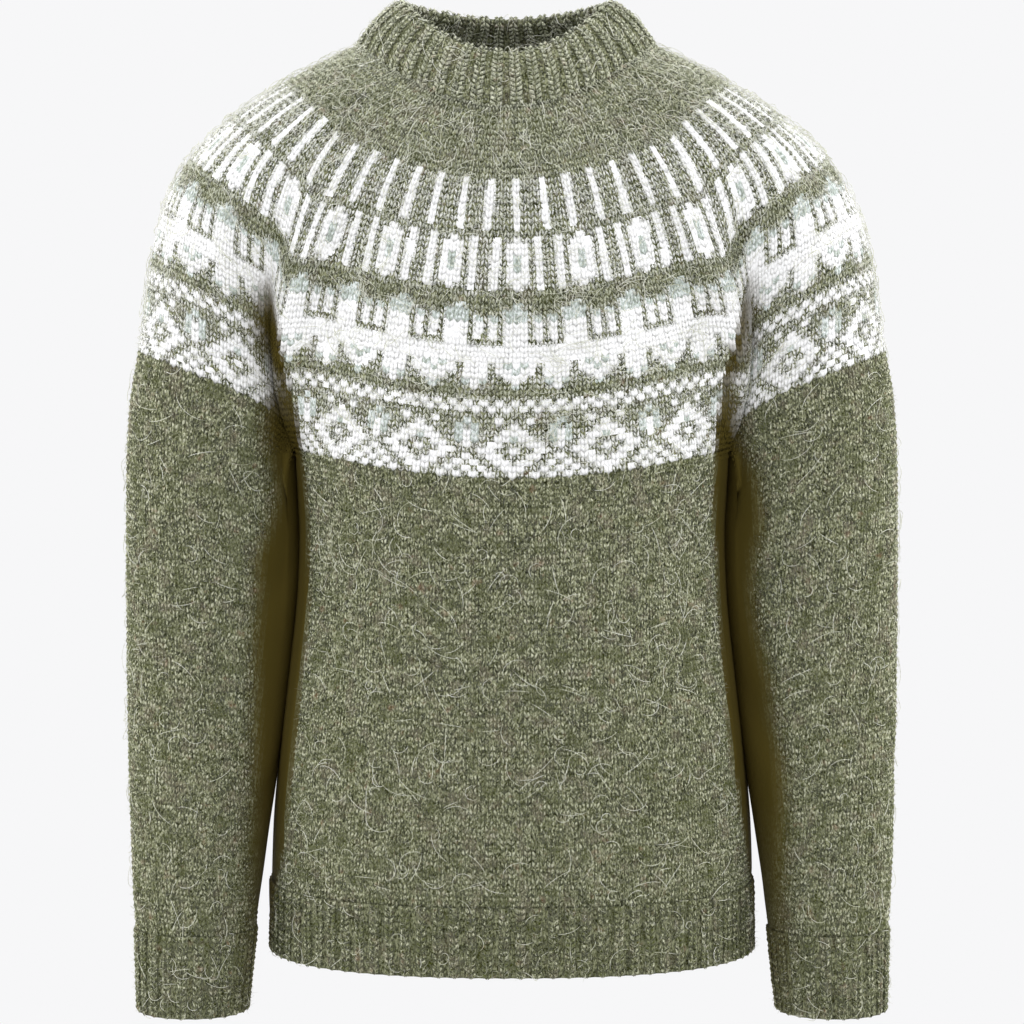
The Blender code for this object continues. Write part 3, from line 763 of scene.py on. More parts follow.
class MaterialTree:
    """One material's nodes."""

    def __init__(self, name: str) -> None:
        """Start a material with only its shader and output."""
        self.material = bpy.data.materials.new(name)
        self.material.use_nodes = True
        self.tree = self.material.node_tree
        self.shader = self.tree.nodes["Principled BSDF"]

    def add(self, kind: str, settings: dict | None = None, links: dict | None = None) -> bpy.types.Node:
        """Add a node.

        Args:
            kind: The node's type name.
            settings: Properties by name, and socket values by their names or numbers.
            links: Output sockets by the name or number of the input that each feeds.

        Returns:
            The node.
        """
        node = self.tree.nodes.new(kind)
        for key, value in (settings or {}).items():
            if isinstance(key, str) and hasattr(node, key):
                setattr(node, key, value)
            else:
                node.inputs[key].default_value = value
        for key, output in (links or {}).items():
            self.tree.links.new(output, node.inputs[key])
        return node

    def ramp(self, factor: bpy.types.NodeSocket, stops: Sequence[tuple[float, str]]) -> bpy.types.NodeSocket:
        """A colour that follows a factor through these stops.

        Args:
            factor: The socket with the factor.
            stops: Places from 0 to 1, with the colour at each.

        Returns:
            The colour's socket.
        """
        node = self.add("ShaderNodeValToRGB", links={"Fac": factor})
        elements = node.color_ramp.elements
        while len(elements) < len(stops):
            elements.new(0.5)
        for element, (place, colour) in zip(elements, stops):
            element.position = place
            element.color = linear(colour)
        return node.outputs["Color"]

    def math(self, operation: str, *values: bpy.types.NodeSocket | float) -> bpy.types.NodeSocket:
        """A sum, product or other result of sockets and plain numbers."""
        settings: dict = {"operation": operation}
        settings.update({place: value for place, value in enumerate(values) if isinstance(value, float)})
        links = {place: value for place, value in enumerate(values) if not isinstance(value, float)}
        return self.add("ShaderNodeMath", settings, links).outputs[0]

    def attribute(self, name: str) -> bpy.types.NodeSocket:
        """What each stitch carries under this name."""
        return self.add("ShaderNodeAttribute", {"attribute_name": name}).outputs["Fac"]

    def noise(
        self, size_mm: float, place: bpy.types.NodeSocket, detail: float, roughness: float, distortion: float = 0.0
    ) -> bpy.types.NodeSocket:
        """A cloudy pattern.

        Args:
            size_mm: How far apart its lumps are, in mm.
            place: The socket with the coordinates.
            detail: How many finer layers it has.
            roughness: How strong those are.
            distortion: How much it is twisted.

        Returns:
            The socket of its strength, 0 to 1.
        """
        settings = {"Scale": 1000.0 / size_mm, "Detail": detail, "Roughness": roughness, "Distortion": distortion}
        return self.add("ShaderNodeTexNoise", settings, {"Vector": place}).outputs["Fac"]

    def span(
        self, value: bpy.types.NodeSocket, start: float, end: float, low: float, high: float
    ) -> bpy.types.NodeSocket:
        """A value carried from one span to another, and held at its ends."""
        settings = {"From Min": start, "From Max": end, "To Min": low, "To Max": high}
        return self.add("ShaderNodeMapRange", settings, {"Value": value}).outputs["Result"]

    def mix(
        self,
        share: bpy.types.NodeSocket,
        below: bpy.types.NodeSocket,
        above: bpy.types.NodeSocket | tuple[float, float, float, float],
    ) -> bpy.types.NodeSocket:
        """One colour over another.

        Args:
            share: The socket with how much of the upper one shows.
            below: The socket of the lower colour.
            above: The socket or the value of the upper colour.

        Returns:
            The mixed colour's socket.
        """
        settings, links = {}, {"Fac": share, "Color1": below}
        if isinstance(above, tuple):
            settings["Color2"] = above
        else:
            links["Color2"] = above
        return self.add("ShaderNodeMixRGB", settings, links).outputs["Color"]

    def fibre_lines(
        self, place: bpy.types.NodeSocket, layers: Sequence[tuple[float, float]]
    ) -> bpy.types.NodeSocket:
        """Fine curling lines, like loose fibres: the level lines of twisted clouds.

        Args:
            place: The socket with the coordinates.
            layers: For each layer its clouds' size in mm, and half the width of a line in the clouds' own measure.

        Returns:
            The socket of the lines' strength, 0 to 1.
        """
        found = None
        for size_mm, half_width in layers:
            cloud = self.noise(size_mm, place, detail=1.0, roughness=0.5, distortion=1.2)
            away = self.math("ABSOLUTE", self.math("SUBTRACT", cloud, 0.5))
            line = self.span(away, 0.4 * half_width, half_width, 1.0, 0.0)
            found = line if found is None else self.math("MAXIMUM", found, line)
        return found


def wool_material(finish: WoolFinish) -> bpy.types.Material:
    """A wool whose colour follows the yarn number and tone that each stitch carries, and the shade painted between arm
    and body.

    Args:
        finish: Its colours and sizes.

    Returns:
        The material.
    """
    made = MaterialTree(finish.name)
    object_place = made.add("ShaderNodeTexCoord").outputs["Object"]
    # Flecks are twice as long down the wales as they are wide, as the yarn mostly runs that way
    place = made.add("ShaderNodeMapping", {"Scale": (1.0, 1.0, 0.5)}, {"Vector": object_place}).outputs[0]
    tone = made.attribute("tone")
    yarn = made.attribute("yarn")
    bloom = made.attribute("bloom")
    shade = made.attribute("shade")
    fleck = made.noise(finish.fleck_mm, place, detail=3.0, roughness=0.62)
    cloud = made.noise(finish.patch_mm * 0.6, object_place, detail=2.0, roughness=0.6)
    swing = made.math("ADD", made.math("MULTIPLY_ADD", tone, 0.07, -0.035), made.math("MULTIPLY_ADD", cloud, 0.16, -0.08))
    mixed = made.math("ADD", fleck, made.math("MULTIPLY_ADD", bloom, -0.075, swing))
    stops = ((0.415, finish.dark), (0.50, finish.middle), (0.595, finish.light))
    heather = made.ramp(mixed, stops)
    patch = made.noise(finish.patch_mm, object_place, detail=2.0, roughness=0.5)
    heather = made.mix(made.span(patch, 0.54, 0.68, 0.0, 0.40), heather, linear(finish.blush))
    heather = made.mix(made.span(patch, 0.46, 0.34, 0.0, 0.65), heather, linear(finish.moss))
    spot = made.noise(finish.patch_mm * 0.6, object_place, detail=1.0, roughness=0.5)
    heather = made.mix(made.span(spot, 0.67, 0.78, 0.0, 0.50), heather, linear(finish.rust))
    # A deeper green mixed in by height, more of it towards the hem and the cuffs
    height = made.add("ShaderNodeSeparateXYZ", links={"Vector": object_place}).outputs["Z"]
    heather = made.mix(made.span(height, -0.30, -0.66, 0.0, 0.17), heather, linear(finish.moss))
    # Pale fibres that stray over the darker yarn, thickest beside the white of the pattern
    mottle = made.span(fleck, 0.40, 0.60, 0.25, 1.0)
    haze = made.math("MULTIPLY", made.math("MULTIPLY", bloom, mottle), 0.36)
    heather = made.mix(haze, heather, linear(finish.mist))
    fibres = made.fibre_lines(object_place, ((2.6, 0.055), (4.0, 0.052), (6.0, 0.045)))
    shown = made.math("MULTIPLY", fibres, made.math("MULTIPLY_ADD", bloom, 1.65, 0.12))
    heather = made.mix(shown, heather, made.ramp(bloom, ((0.14, "dcdfc6"), (0.50, "f6f6f4"))))
    marled = made.ramp(mixed, ((0.38, "aeb7ad"), (0.48, finish.mist), (0.58, "f2f6f6")))
    dyed = made.mix(made.math("GREATER_THAN", yarn, 0.75), marled, linear(finish.white))
    colour = made.mix(made.math("GREATER_THAN", yarn, 0.25), heather, dyed)
    # Painted shade between arm and body: a dark colour laid over the wool, painted lighter near the sides' middle depth
    # where arm and body touch, for the light thrown back and forth there
    across = made.add("ShaderNodeSeparateXYZ", links={"Vector": object_place}).outputs["Y"]
    touch = made.span(made.math("ABSOLUTE", across), 0.045, 0.012, 0.0, 1.0)
    shaded = made.ramp(touch, ((0.0, finish.shade), (1.0, finish.nook)))
    colour = made.mix(shade, colour, shaded)
    made.tree.links.new(colour, made.shader.inputs["Base Color"])
    made.shader.inputs["Roughness"].default_value = 0.92
    made.shader.inputs["Specular IOR Level"].default_value = 0.1
    # The sheen is taken away in the painted shade, so that it stays dark
    lit = made.math("MULTIPLY_ADD", shade, -finish.sheen, finish.sheen)
    made.tree.links.new(lit, made.shader.inputs["Sheen Weight"])
    made.shader.inputs["Sheen Roughness"].default_value = 0.5
    made.shader.inputs["Sheen Tint"].default_value = linear("e4e6cf")
    if finish.bump_mm:
        fibre = made.noise(0.55, object_place, detail=2.0, roughness=0.6)
        bump = made.add(
            "ShaderNodeBump", {"Strength": 0.7, "Distance": finish.bump_mm / 1000.0}, {"Height": fibre}
        )
        made.tree.links.new(bump.outputs["Normal"], made.shader.inputs["Normal"])
    return made.material


# ---------------------------------------------------------------- yarn and cloth meshes


class Loom:
    """Makes meshes from whole arrays of small alike shapes, and remembers the finishes."""

    def __init__(self) -> None:
        """Make the wools."""
        self.yarn = wool_material(STITCH_WOOL)
        self.ground = wool_material(GROUND_WOOL)
        self.fibre = wool_material(FIBRE_WOOL)
        self.random = np.random.default_rng(20260)

    def mesh(
        self,
        name: str,
        points: np.ndarray,
        faces: np.ndarray,
        uvs: np.ndarray,
        carried: dict[str, np.ndarray],
        material: bpy.types.Material,
    ) -> bpy.types.Object:
        """A mesh object with its wool, its map and what its stitches carry.

        Args:
            name: The piece's name.
            points: Corners, in metres.
            faces: Corner numbers, all faces with as many corners.
            uvs: A place in the map for each corner of each face.
            carried: What each face carries for its wool, by name.
            material: Its wool.

        Returns:
            The object, at the origin.
        """
        bpy.ops.object.select_all(action="DESELECT")
        mesh = bpy.data.meshes.new(name)
        mesh.vertices.add(len(points))
        mesh.vertices.foreach_set("co", points.astype(np.float32).ravel())
        corners = faces.shape[1]
        mesh.loops.add(faces.size)
        mesh.loops.foreach_set("vertex_index", faces.astype(np.int32).ravel())
        mesh.polygons.add(len(faces))
        mesh.polygons.foreach_set("loop_start", np.arange(len(faces), dtype=np.int32) * corners)
        mesh.update(calc_edges=True)
        mesh.validate()
        layer = mesh.uv_layers.new(name="OFBake")
        layer.data.foreach_set("uv", uvs.astype(np.float32).ravel())
        for label, values in carried.items():
            mesh.attributes.new(label, "FLOAT", "FACE").data.foreach_set("value", values.astype(np.float32))
        mesh.shade_smooth()
        mesh.materials.append(material)
        piece = bpy.data.objects.new(name, mesh)
        bpy.context.scene.collection.objects.link(piece)
        return piece

    def shell(
        self,
        name: str,
        tube: Tube,
        columns: int,
        rows: int,
        inner_rows: int,
        wall: float,
        rise: "Rise",
        yarn_at: "YarnAt | None" = None,
    ) -> bpy.types.Object:
        """The knitted fabric's own closed wall.

        Args:
            name: The piece's name.
            tube: The surface that its outside follows.
            columns: Points once round.
            rows: Steps down its outside.
            inner_rows: Steps up its inside.
            wall: Its thickness, in metres.
            rise: How far the ground is raised at each turn, in metres.
            yarn_at: The yarn number at places of the outside, for a patterned ground.

        Returns:
            The object.
        """
        turn = np.arange(columns) / columns
        outside = np.linspace(0.0, 1.0, rows + 1)
        inside = np.linspace(1.0, 0.0, inner_rows + 1)
        across, down = np.meshgrid(turn, outside)
        # Where arm and body press together the ground swells up level with its stitches
        swell = PRESS_SWELL * pressed_flat(tube.at(across, down, 0.0))
        outer = tube.at(across, down, rise(turn)[None, :] + swell)
        inner = tube.at(turn[None, :] + 0 * inside[:, None], inside[:, None] + 0 * turn[None, :], np.full((len(inside), columns), -wall))
        points = np.concatenate((outer, inner))
        count = len(points)
        row = np.repeat(np.arange(count), columns)
        column = np.tile(np.arange(columns), count)
        below = (row + 1) % count
        beside = (column + 1) % columns
        faces = np.stack([row * columns + column, below * columns + column, below * columns + beside, row * columns + beside], axis=1)
        u = np.stack([column, column, column + 1, column + 1], axis=1) / columns
        v = 1.0 - np.stack([row, row + 1, row + 1, row], axis=1) / count
        yarn = np.zeros(len(faces))
        if yarn_at is not None:
            drop = np.concatenate((0.5 * (outside[1:] + outside[:-1]), np.full(count - rows, -1.0)))
            yarn = yarn_at((column + 0.5) / columns, drop[row])
        flat = points.reshape(-1, 3)
        # Each face carries how deep it lies in the shade painted between arm and body
        carried = {
            "yarn": yarn,
            "tone": self.random.random(len(faces)),
            "bloom": np.zeros(len(faces)),
            "shade": arm_shade(flat[faces].mean(axis=1)),
        }
        return self.mesh(name, flat, faces, np.stack([u, v], axis=-1), carried, self.ground)

    def strands(self, name: str, tube: Tube, knit: "Knit", shape: "StrandShape") -> bpy.types.Object:
        """Strands of yarn on a tube, one copy of a shape for each place.

        Args:
            name: The piece's name.
            tube: The surface that they lie on.
            knit: The places, sizes and yarns.
            shape: The shape, in stitch widths and row heights.

        Returns:
            The object.
        """
        parts, faces = shape.points, shape.faces
        bulge = knit.relief * (1.0 - 0.8 * pressed_flat(tube.at(knit.turn, knit.drop, 0.0)))
        fat = knit.fat[:, None]
        across = parts[None, :, 0] * knit.width[:, None]
        turn = knit.turn[:, None] + across
        drop = knit.drop[:, None] + parts[None, :, 1] * (knit.height * knit.reach)[:, None]
        lift = knit.lift[:, None] + parts[None, :, 2] * bulge[:, None]
        turn = turn + parts[None, :, 3] * knit.width[:, None] * fat
        drop = drop + parts[None, :, 4] * knit.height[:, None] * fat
        points = tube.at(turn, drop, lift).reshape(-1, 3)
        count, corners = len(knit.turn), len(parts)
        all_faces = (np.arange(count)[:, None, None] * corners + faces[None]).reshape(-1, 3)
        side = math.ceil(math.sqrt(count))
        cell = np.stack([np.arange(count) % side, np.arange(count) // side], axis=1)[:, None, None, :]
        uvs = (cell + shape.map_places[faces][None]) / side
        middles = points.reshape(count, corners, 3).mean(axis=1)
        # Each stitch carries how deep it lies in the shade painted between arm and body
        each = {"yarn": knit.yarn, "tone": knit.tone, "bloom": knit.bloom, "shade": arm_shade(middles)}
        carried = {label: np.repeat(values, len(faces)) for label, values in each.items()}
        return self.mesh(name, points, all_faces, uvs.reshape(-1, 3, 2), carried, self.yarn)


Rise = type(lambda turn: turn)
YarnAt = type(lambda turn, drop: turn)


@dataclass
class Knit:
    """Where stitches lie and what they are made of. Each field has one number a stitch.

    Args:
        turn: Middle, round the tube.
        drop: Middle, down the tube.
        width: Width, as a share of once round.
        height: Height, as a share of the tube's length.
        lift: How far it stands out of the cloth, in metres.
        fat: How thick its yarn is, 1 for plain.
        reach: How long its strands are, 1 for plain.
        relief: How much the yarn bulges, 1 for plain.
        yarn: The yarn's number.
        tone: The yarn's tone, 0 to 1.
        bloom: How much pale yarn lies round it, 0 to 1.
    """

    turn: np.ndarray
    drop: np.ndarray
    width: np.ndarray
    height: np.ndarray
    lift: np.ndarray
    fat: np.ndarray
    reach: np.ndarray
    relief: np.ndarray
    yarn: np.ndarray
    tone: np.ndarray
    bloom: np.ndarray

    def part(self, keep: np.ndarray) -> "Knit":
        """Only the stitches that are marked."""
        return Knit(*[getattr(self, name)[keep] for name in self.__dataclass_fields__])

    @staticmethod
    def joined(parts: Sequence["Knit"]) -> "Knit":
        """Several runs of stitches as one."""
        names = Knit.__dataclass_fields__
        return Knit(*[np.concatenate([getattr(part, name) for part in parts]) for name in names])


class StrandShape:
    """A small closed bundle of spindles, with the faces turned outward."""

    def __init__(self, spindles: Sequence[tuple[tuple[float, float], tuple[float, float]]], thick: float, bulge: float, sink: float) -> None:
        """Make the spindles.

        Args:
            spindles: The two ends of each, in stitch widths across and row heights down.
            thick: Half of a strand's thickness, in row heights.
            bulge: How far a strand's middle stands out, in metres.
            sink: How far its back and its ends lie under that, in metres.
        """
        aspect = 1.35
        points, faces, places = [], [], []
        for number, (start, end) in enumerate(spindles):
            run = np.array([(end[0] - start[0]) * aspect, end[1] - start[1]])
            run = run / np.linalg.norm(run)
            beside = np.array([run[1] / aspect, -run[0]]) * thick
            middle = 0.5 * (np.array(start) + np.array(end))
            base = len(points)
            points += [
                (*start, -sink * 0.2, 0.0, 0.0),
                (*end, -sink * 0.2, 0.0, 0.0),
                (*middle, -sink * 0.1, -beside[0], -beside[1]),
                (*middle, bulge, 0.0, 0.0),
                (*middle, -sink * 0.1, beside[0], beside[1]),
            ]
            for tip, ring in ((0, (2, 3, 4)), (1, (4, 3, 2))):
                for first in range(3):
                    faces.append((base + tip, base + ring[first], base + ring[(first + 1) % 3]))
            low, wide = number / len(spindles), 1.0 / len(spindles)
            for x, y in ((0.5, 0.96), (0.5, 0.04), (0.06, 0.5), (0.5, 0.53), (0.94, 0.5)):
                places.append((low + wide * x, y))
        self.points = np.array(points)
        self.map_places = np.array(places)
        self.faces = self._outward(np.array(faces), aspect)

    def _outward(self, faces: np.ndarray, aspect: float) -> np.ndarray:
        """The faces with every corner order turned so that they look outward."""
        scale = 0.004
        solid = np.stack(
            [
                (self.points[:, 0] + self.points[:, 3]) * scale * aspect,
                -(self.points[:, 1] + self.points[:, 4]) * scale,
                self.points[:, 2],
            ],
            axis=1,
        )
        turned = faces.copy()
        for number, face in enumerate(faces):
            spindle = face[0] // 5 * 5
            middle = solid[spindle : spindle + 5].mean(axis=0)
            a, b, c = solid[face]
            if np.dot(np.cross(b - a, c - a), a + b + c - 3 * middle) < 0.0:
                turned[number] = face[::-1]
        return turned


KNIT_STITCH = StrandShape((((-0.46, -0.72), (-0.03, 0.68)), ((0.46, -0.72), (0.03, 0.68))), thick=0.30, bulge=0.0013, sink=0.0008)
PURL_STITCH = StrandShape((((-0.56, 0.10), (0.56, 0.10)),), thick=0.34, bulge=0.0010, sink=0.0008)


class Knitter:
    """Lays out stitches, with the small unevenness of hand knitting."""

    def __init__(self, random: np.random.Generator) -> None:
        """Keep the source of unevenness."""
        self.random = random

    def row(
        self,
        turn: np.ndarray,
        drop: float,
        width: float,
        height: float,
        yarn: np.ndarray,
        lift: float = 0.0,
        dim: float = 0.0,
    ) -> Knit:
        """One row of stitches.

        Args:
            turn: The middles of the stitches.
            drop: The row's middle.
            width: A stitch's width, as a share of once round.
            height: The row's height, as a share of the tube's length.
            yarn: The yarn number of each stitch.
            lift: How far the row stands out of the cloth, in metres.
            dim: How much darker the yarn's flecks are, in the tone's own measure.

        Returns:
            The stitches.
        """
        count = len(turn)
        uneven = self.random.normal(size=(4, count))
        return Knit(
            turn=turn + uneven[0] * width * 0.035,
            drop=drop + uneven[1] * height * 0.05,
            width=np.full(count, width),
            height=np.full(count, height),
            lift=lift + uneven[2] * 0.00012,
            fat=(1.0 + uneven[3] * 0.07) * np.where(yarn > 0.25, 1.70, 1.0),
            reach=np.where(yarn > 0.25, 1.32, 1.0),
            relief=np.where(yarn > 0.25, 0.42, 0.85),
            yarn=yarn,
            tone=self.random.random(count) - dim,
            bloom=np.zeros(count),
        )

    def yoke(self) -> Knit:
        """The yoke's rows, band by band."""
        total = sum(band.depth_mm for band in YOKE_BANDS)
        rows, done = [], 0.0
        for band in YOKE_BANDS:
            height = band.depth_mm / len(band.chart) / total
            for line in band.chart:
                numbers = np.array([Yarn.number(letter) for letter in line])
                stitch = np.arange(band.stitches)
                yarn = numbers[stitch % len(line)]
                drop = done + 0.5 * height
                turn = stitch / band.stitches + YOKE_TWIST * (1.0 - drop)
                rows.append(self.row(turn, drop, 1.0 / band.stitches, height, yarn))
                done += height
        # One row lies in the corner under the neckband, where its stitches are picked up
        picked = YOKE_BANDS[0].stitches
        turn = (np.arange(picked) + 0.5) / picked
        rows.append(self.row(turn, 0.001, 1.0 / picked, 0.6 * rows[0].height[0], np.zeros(picked), 0.0011))
        knit = Knit.joined(rows)
        around = [(-1, 0), (1, 0), (0, -1), (0, 1), (-1, -1), (1, -1), (-1, 1), (1, 1), (-2, 0), (2, 0)]
        for across, down in around:
            turn = knit.turn + across * knit.width
            knit.bloom += self.yoke_yarn(turn, knit.drop + down * knit.height) / len(around)
        knit.bloom = np.maximum(np.sqrt(knit.bloom), YOKE_BLOOM)
        return knit

    @staticmethod
    def yoke_yarn(turn: np.ndarray, drop: np.ndarray) -> np.ndarray:
        """The yarn number at places of the yoke, 0 off its outside."""
        total = sum(band.depth_mm for band in YOKE_BANDS)
        found = np.zeros(len(turn))
        done = 0.0
        for band in YOKE_BANDS:
            height = band.depth_mm / len(band.chart) / total
            for line in band.chart:
                numbers = np.array([Yarn.number(letter) for letter in line])
                here = (drop >= done) & (drop < done + height)
                untwisted = turn[here] - YOKE_TWIST * (1.0 - drop[here])
                stitch = np.round(untwisted * band.stitches).astype(int) % band.stitches
                found[here] = numbers[stitch % len(line)]
                done += height
        return found

    def plain(self, wales: int, courses: int) -> Knit:
        """A tube with as many stitches in every row."""
        turn = np.arange(wales) / wales
        none = np.zeros(wales)
        rows = [self.row(turn, (course + 0.5) / courses, 1.0 / wales, 1.0 / courses, none) for course in range(courses)]
        return Knit.joined(rows)

    def tapered(self, tube: Tube, wale: float, courses: int) -> Knit:
        """A tube whose stitches keep their width, with the decreases under the arm.

        Args:
            tube: The tube, whose turn 0 is opposite the decreases.
            wale: A stitch's width, in metres.
            courses: Rows from its upper to its lower edge.

        Returns:
            The stitches.
        """
        rows = []
        for course in range(courses):
            drop = (course + 0.5) / courses
            girth = float(tube.girth(np.array([drop]))[0])
            half = int(girth / wale / 2)
            turn = np.arange(-half, half + 1) * wale / girth
            rows.append(self.row(turn, drop, wale / girth, 1.0 / courses, np.zeros(len(turn))))
        return Knit.joined(rows)

    def ribbed(self, ribs: int, courses: int, dim: float) -> tuple[Knit, Knit]:
        """Knit and purl stitches of a one by one rib, the knit ones on the crests.

        Args:
            ribs: Ribs once round.
            courses: Rows of stitches.
            dim: How much darker the rib is than plain cloth, in the tone's own measure.

        Returns:
            The knit stitches, and the purl ones between them.
        """
        knits, purls = [], []
        none = np.zeros(ribs)
        for course in range(courses):
            drop = (course + 0.5) / courses
            crest = (np.arange(ribs) + 0.5) / ribs
            groove = np.arange(ribs) / ribs
            knits.append(self.row(crest, drop, 0.68 / ribs, 1.0 / courses, none, RIB_RISE, dim))
            # The purls lie down in the grooves, with painted shade
            purls.append(self.row(groove, drop, 0.42 / ribs, 1.0 / courses, none, -0.0004, dim + GROOVE_PAINTED_SHADE))
        return Knit.joined(knits), Knit.joined(purls)


def flat_rise(turn: np.ndarray) -> np.ndarray:
    """No rise at all: plain cloth under its stitches."""
    return np.zeros(len(turn))


def rib_rise(ribs: int) -> "Rise":
    """The rise of a one by one rib.

    Args:
        ribs: Ribs once round.

    Returns:
        A function of turn that gives the rise, in metres.
    """
    return lambda turn: RIB_RISE * (0.5 - 0.5 * np.cos(2 * np.pi * ribs * turn))


# ---------------------------------------------------------------- the pullover's parts


@dataclass
class KnittedPart:
    """One sewn piece of the pullover: its fabric, and the yarn on it.

    Args:
        node: The solid that it stands for.
        slot: A material slot's name, not used.
        tube: Its surface.
        loom: What makes its meshes.
        knitter: What lays out its stitches.
    """

    node: str
    slot: str
    tube: Tube
    loom: Loom
    knitter: Knitter

    def dress(self, fabric: bpy.types.Object, yarns: Sequence[bpy.types.Object], rests_on: Sequence[str] = ()) -> None:
        """Tie the pieces to the frame and state the cloth's cut.

        Args:
            fabric: The shell that stands for the solid.
            yarns: The stitches on it.
            rests_on: Pieces that it hangs from; not used.
        """
        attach(fabric, "root")
        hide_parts(self.node)
        for yarn in yarns:
            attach(yarn, "root")
        width = float(self.tube.girth(np.array([0.5]))[0])
        length = self.tube.length()
        log.info("%s: %.0f by %.0f mm of cloth, %d pieces of yarn", self.node, width * 1000, length * 1000, len(yarns))


@dataclass
class Yoke(KnittedPart):
    """The patterned yoke, from the neckband to the arms and the body."""

    def build(self) -> Knit:
        """Make its fabric and its stitches, and return the stitches."""
        knit = self.knitter.yoke()
        fabric = self.loom.shell("yoke_fabric", self.tube, 264, 63, 16, WALL, flat_rise, self.knitter.yoke_yarn)
        front = np.abs((knit.turn + 0.5) % 1.0 - 0.5) < 0.25
        yarns = [
            self.loom.strands("yoke_stitches_front", self.tube, knit.part(front), KNIT_STITCH),
            self.loom.strands("yoke_stitches_back", self.tube, knit.part(~front), KNIT_STITCH),
        ]
        self.dress(fabric, yarns)
        return knit


@dataclass
class Body(KnittedPart):
    """The plain body between the yoke and the hem rib."""

    def build(self) -> Knit:
        """Make its fabric and its stitches, and return the stitches."""
        knit = self.knitter.plain(BODY_WALES, BODY_COURSES)
        fabric = self.loom.shell("body_fabric", self.tube, 132, 48, 20, WALL, flat_rise)
        front = np.abs((knit.turn + 0.5) % 1.0 - 0.5) < 0.25
        yarns = [
            self.loom.strands("body_stitches_front", self.tube, knit.part(front), KNIT_STITCH),
            self.loom.strands("body_stitches_back", self.tube, knit.part(~front), KNIT_STITCH),
        ]
        self.dress(fabric, yarns, ["yoke_fabric"])
        return knit


@dataclass
class Sleeve(KnittedPart):
    """A plain sleeve between the yoke and its cuff."""

    def build(self) -> Knit:
        """Make its fabric and its stitches, and return the stitches."""
        knit = self.knitter.tapered(self.tube, SLEEVE_WALE, SLEEVE_COURSES)
        fabric = self.loom.shell(self.node + "_fabric", self.tube, 80, 56, 20, WALL, flat_rise)
        yarns = [self.loom.strands(self.node + "_stitches", self.tube, knit, KNIT_STITCH)]
        self.dress(fabric, yarns, ["yoke_fabric"])
        return knit


@dataclass
class Rib(KnittedPart):
    """A one by one rib that ends a tube: the hem, a cuff or the neckband.

    Args:
        ribs: Ribs once round.
        courses: Rows of stitches.
        hangs_from: The piece that it hangs from.
        wall: The thickness of its fabric.
        rows: Steps of its fabric down its outside.
        dim: How much darker it is than plain cloth, in the tone's own measure.
        bloom: How much pale yarn lies round its stitches, 0 to 1.
    """

    ribs: int
    courses: int
    hangs_from: str
    wall: float = WALL
    rows: int = 8
    dim: float = 0.40
    bloom: float = 0.0

    def build(self) -> Knit:
        """Make its fabric and its stitches, and return the knit ones."""
        knits, purls = self.knitter.ribbed(self.ribs, self.courses, self.dim)
        knits.bloom += self.bloom
        purls.bloom += self.bloom
        fabric = self.loom.shell(self.node + "_fabric", self.tube, self.ribs * 4, self.rows, max(2, self.rows // 2), self.wall, rib_rise(self.ribs))
        yarns = [
            self.loom.strands(self.node + "_knit_stitches", self.tube, knits, KNIT_STITCH),
            self.loom.strands(self.node + "_purl_stitches", self.tube, purls, PURL_STITCH),
        ]
        self.dress(fabric, yarns, [self.hangs_from])
        return knits


# ---------------------------------------------------------------- loose fibres


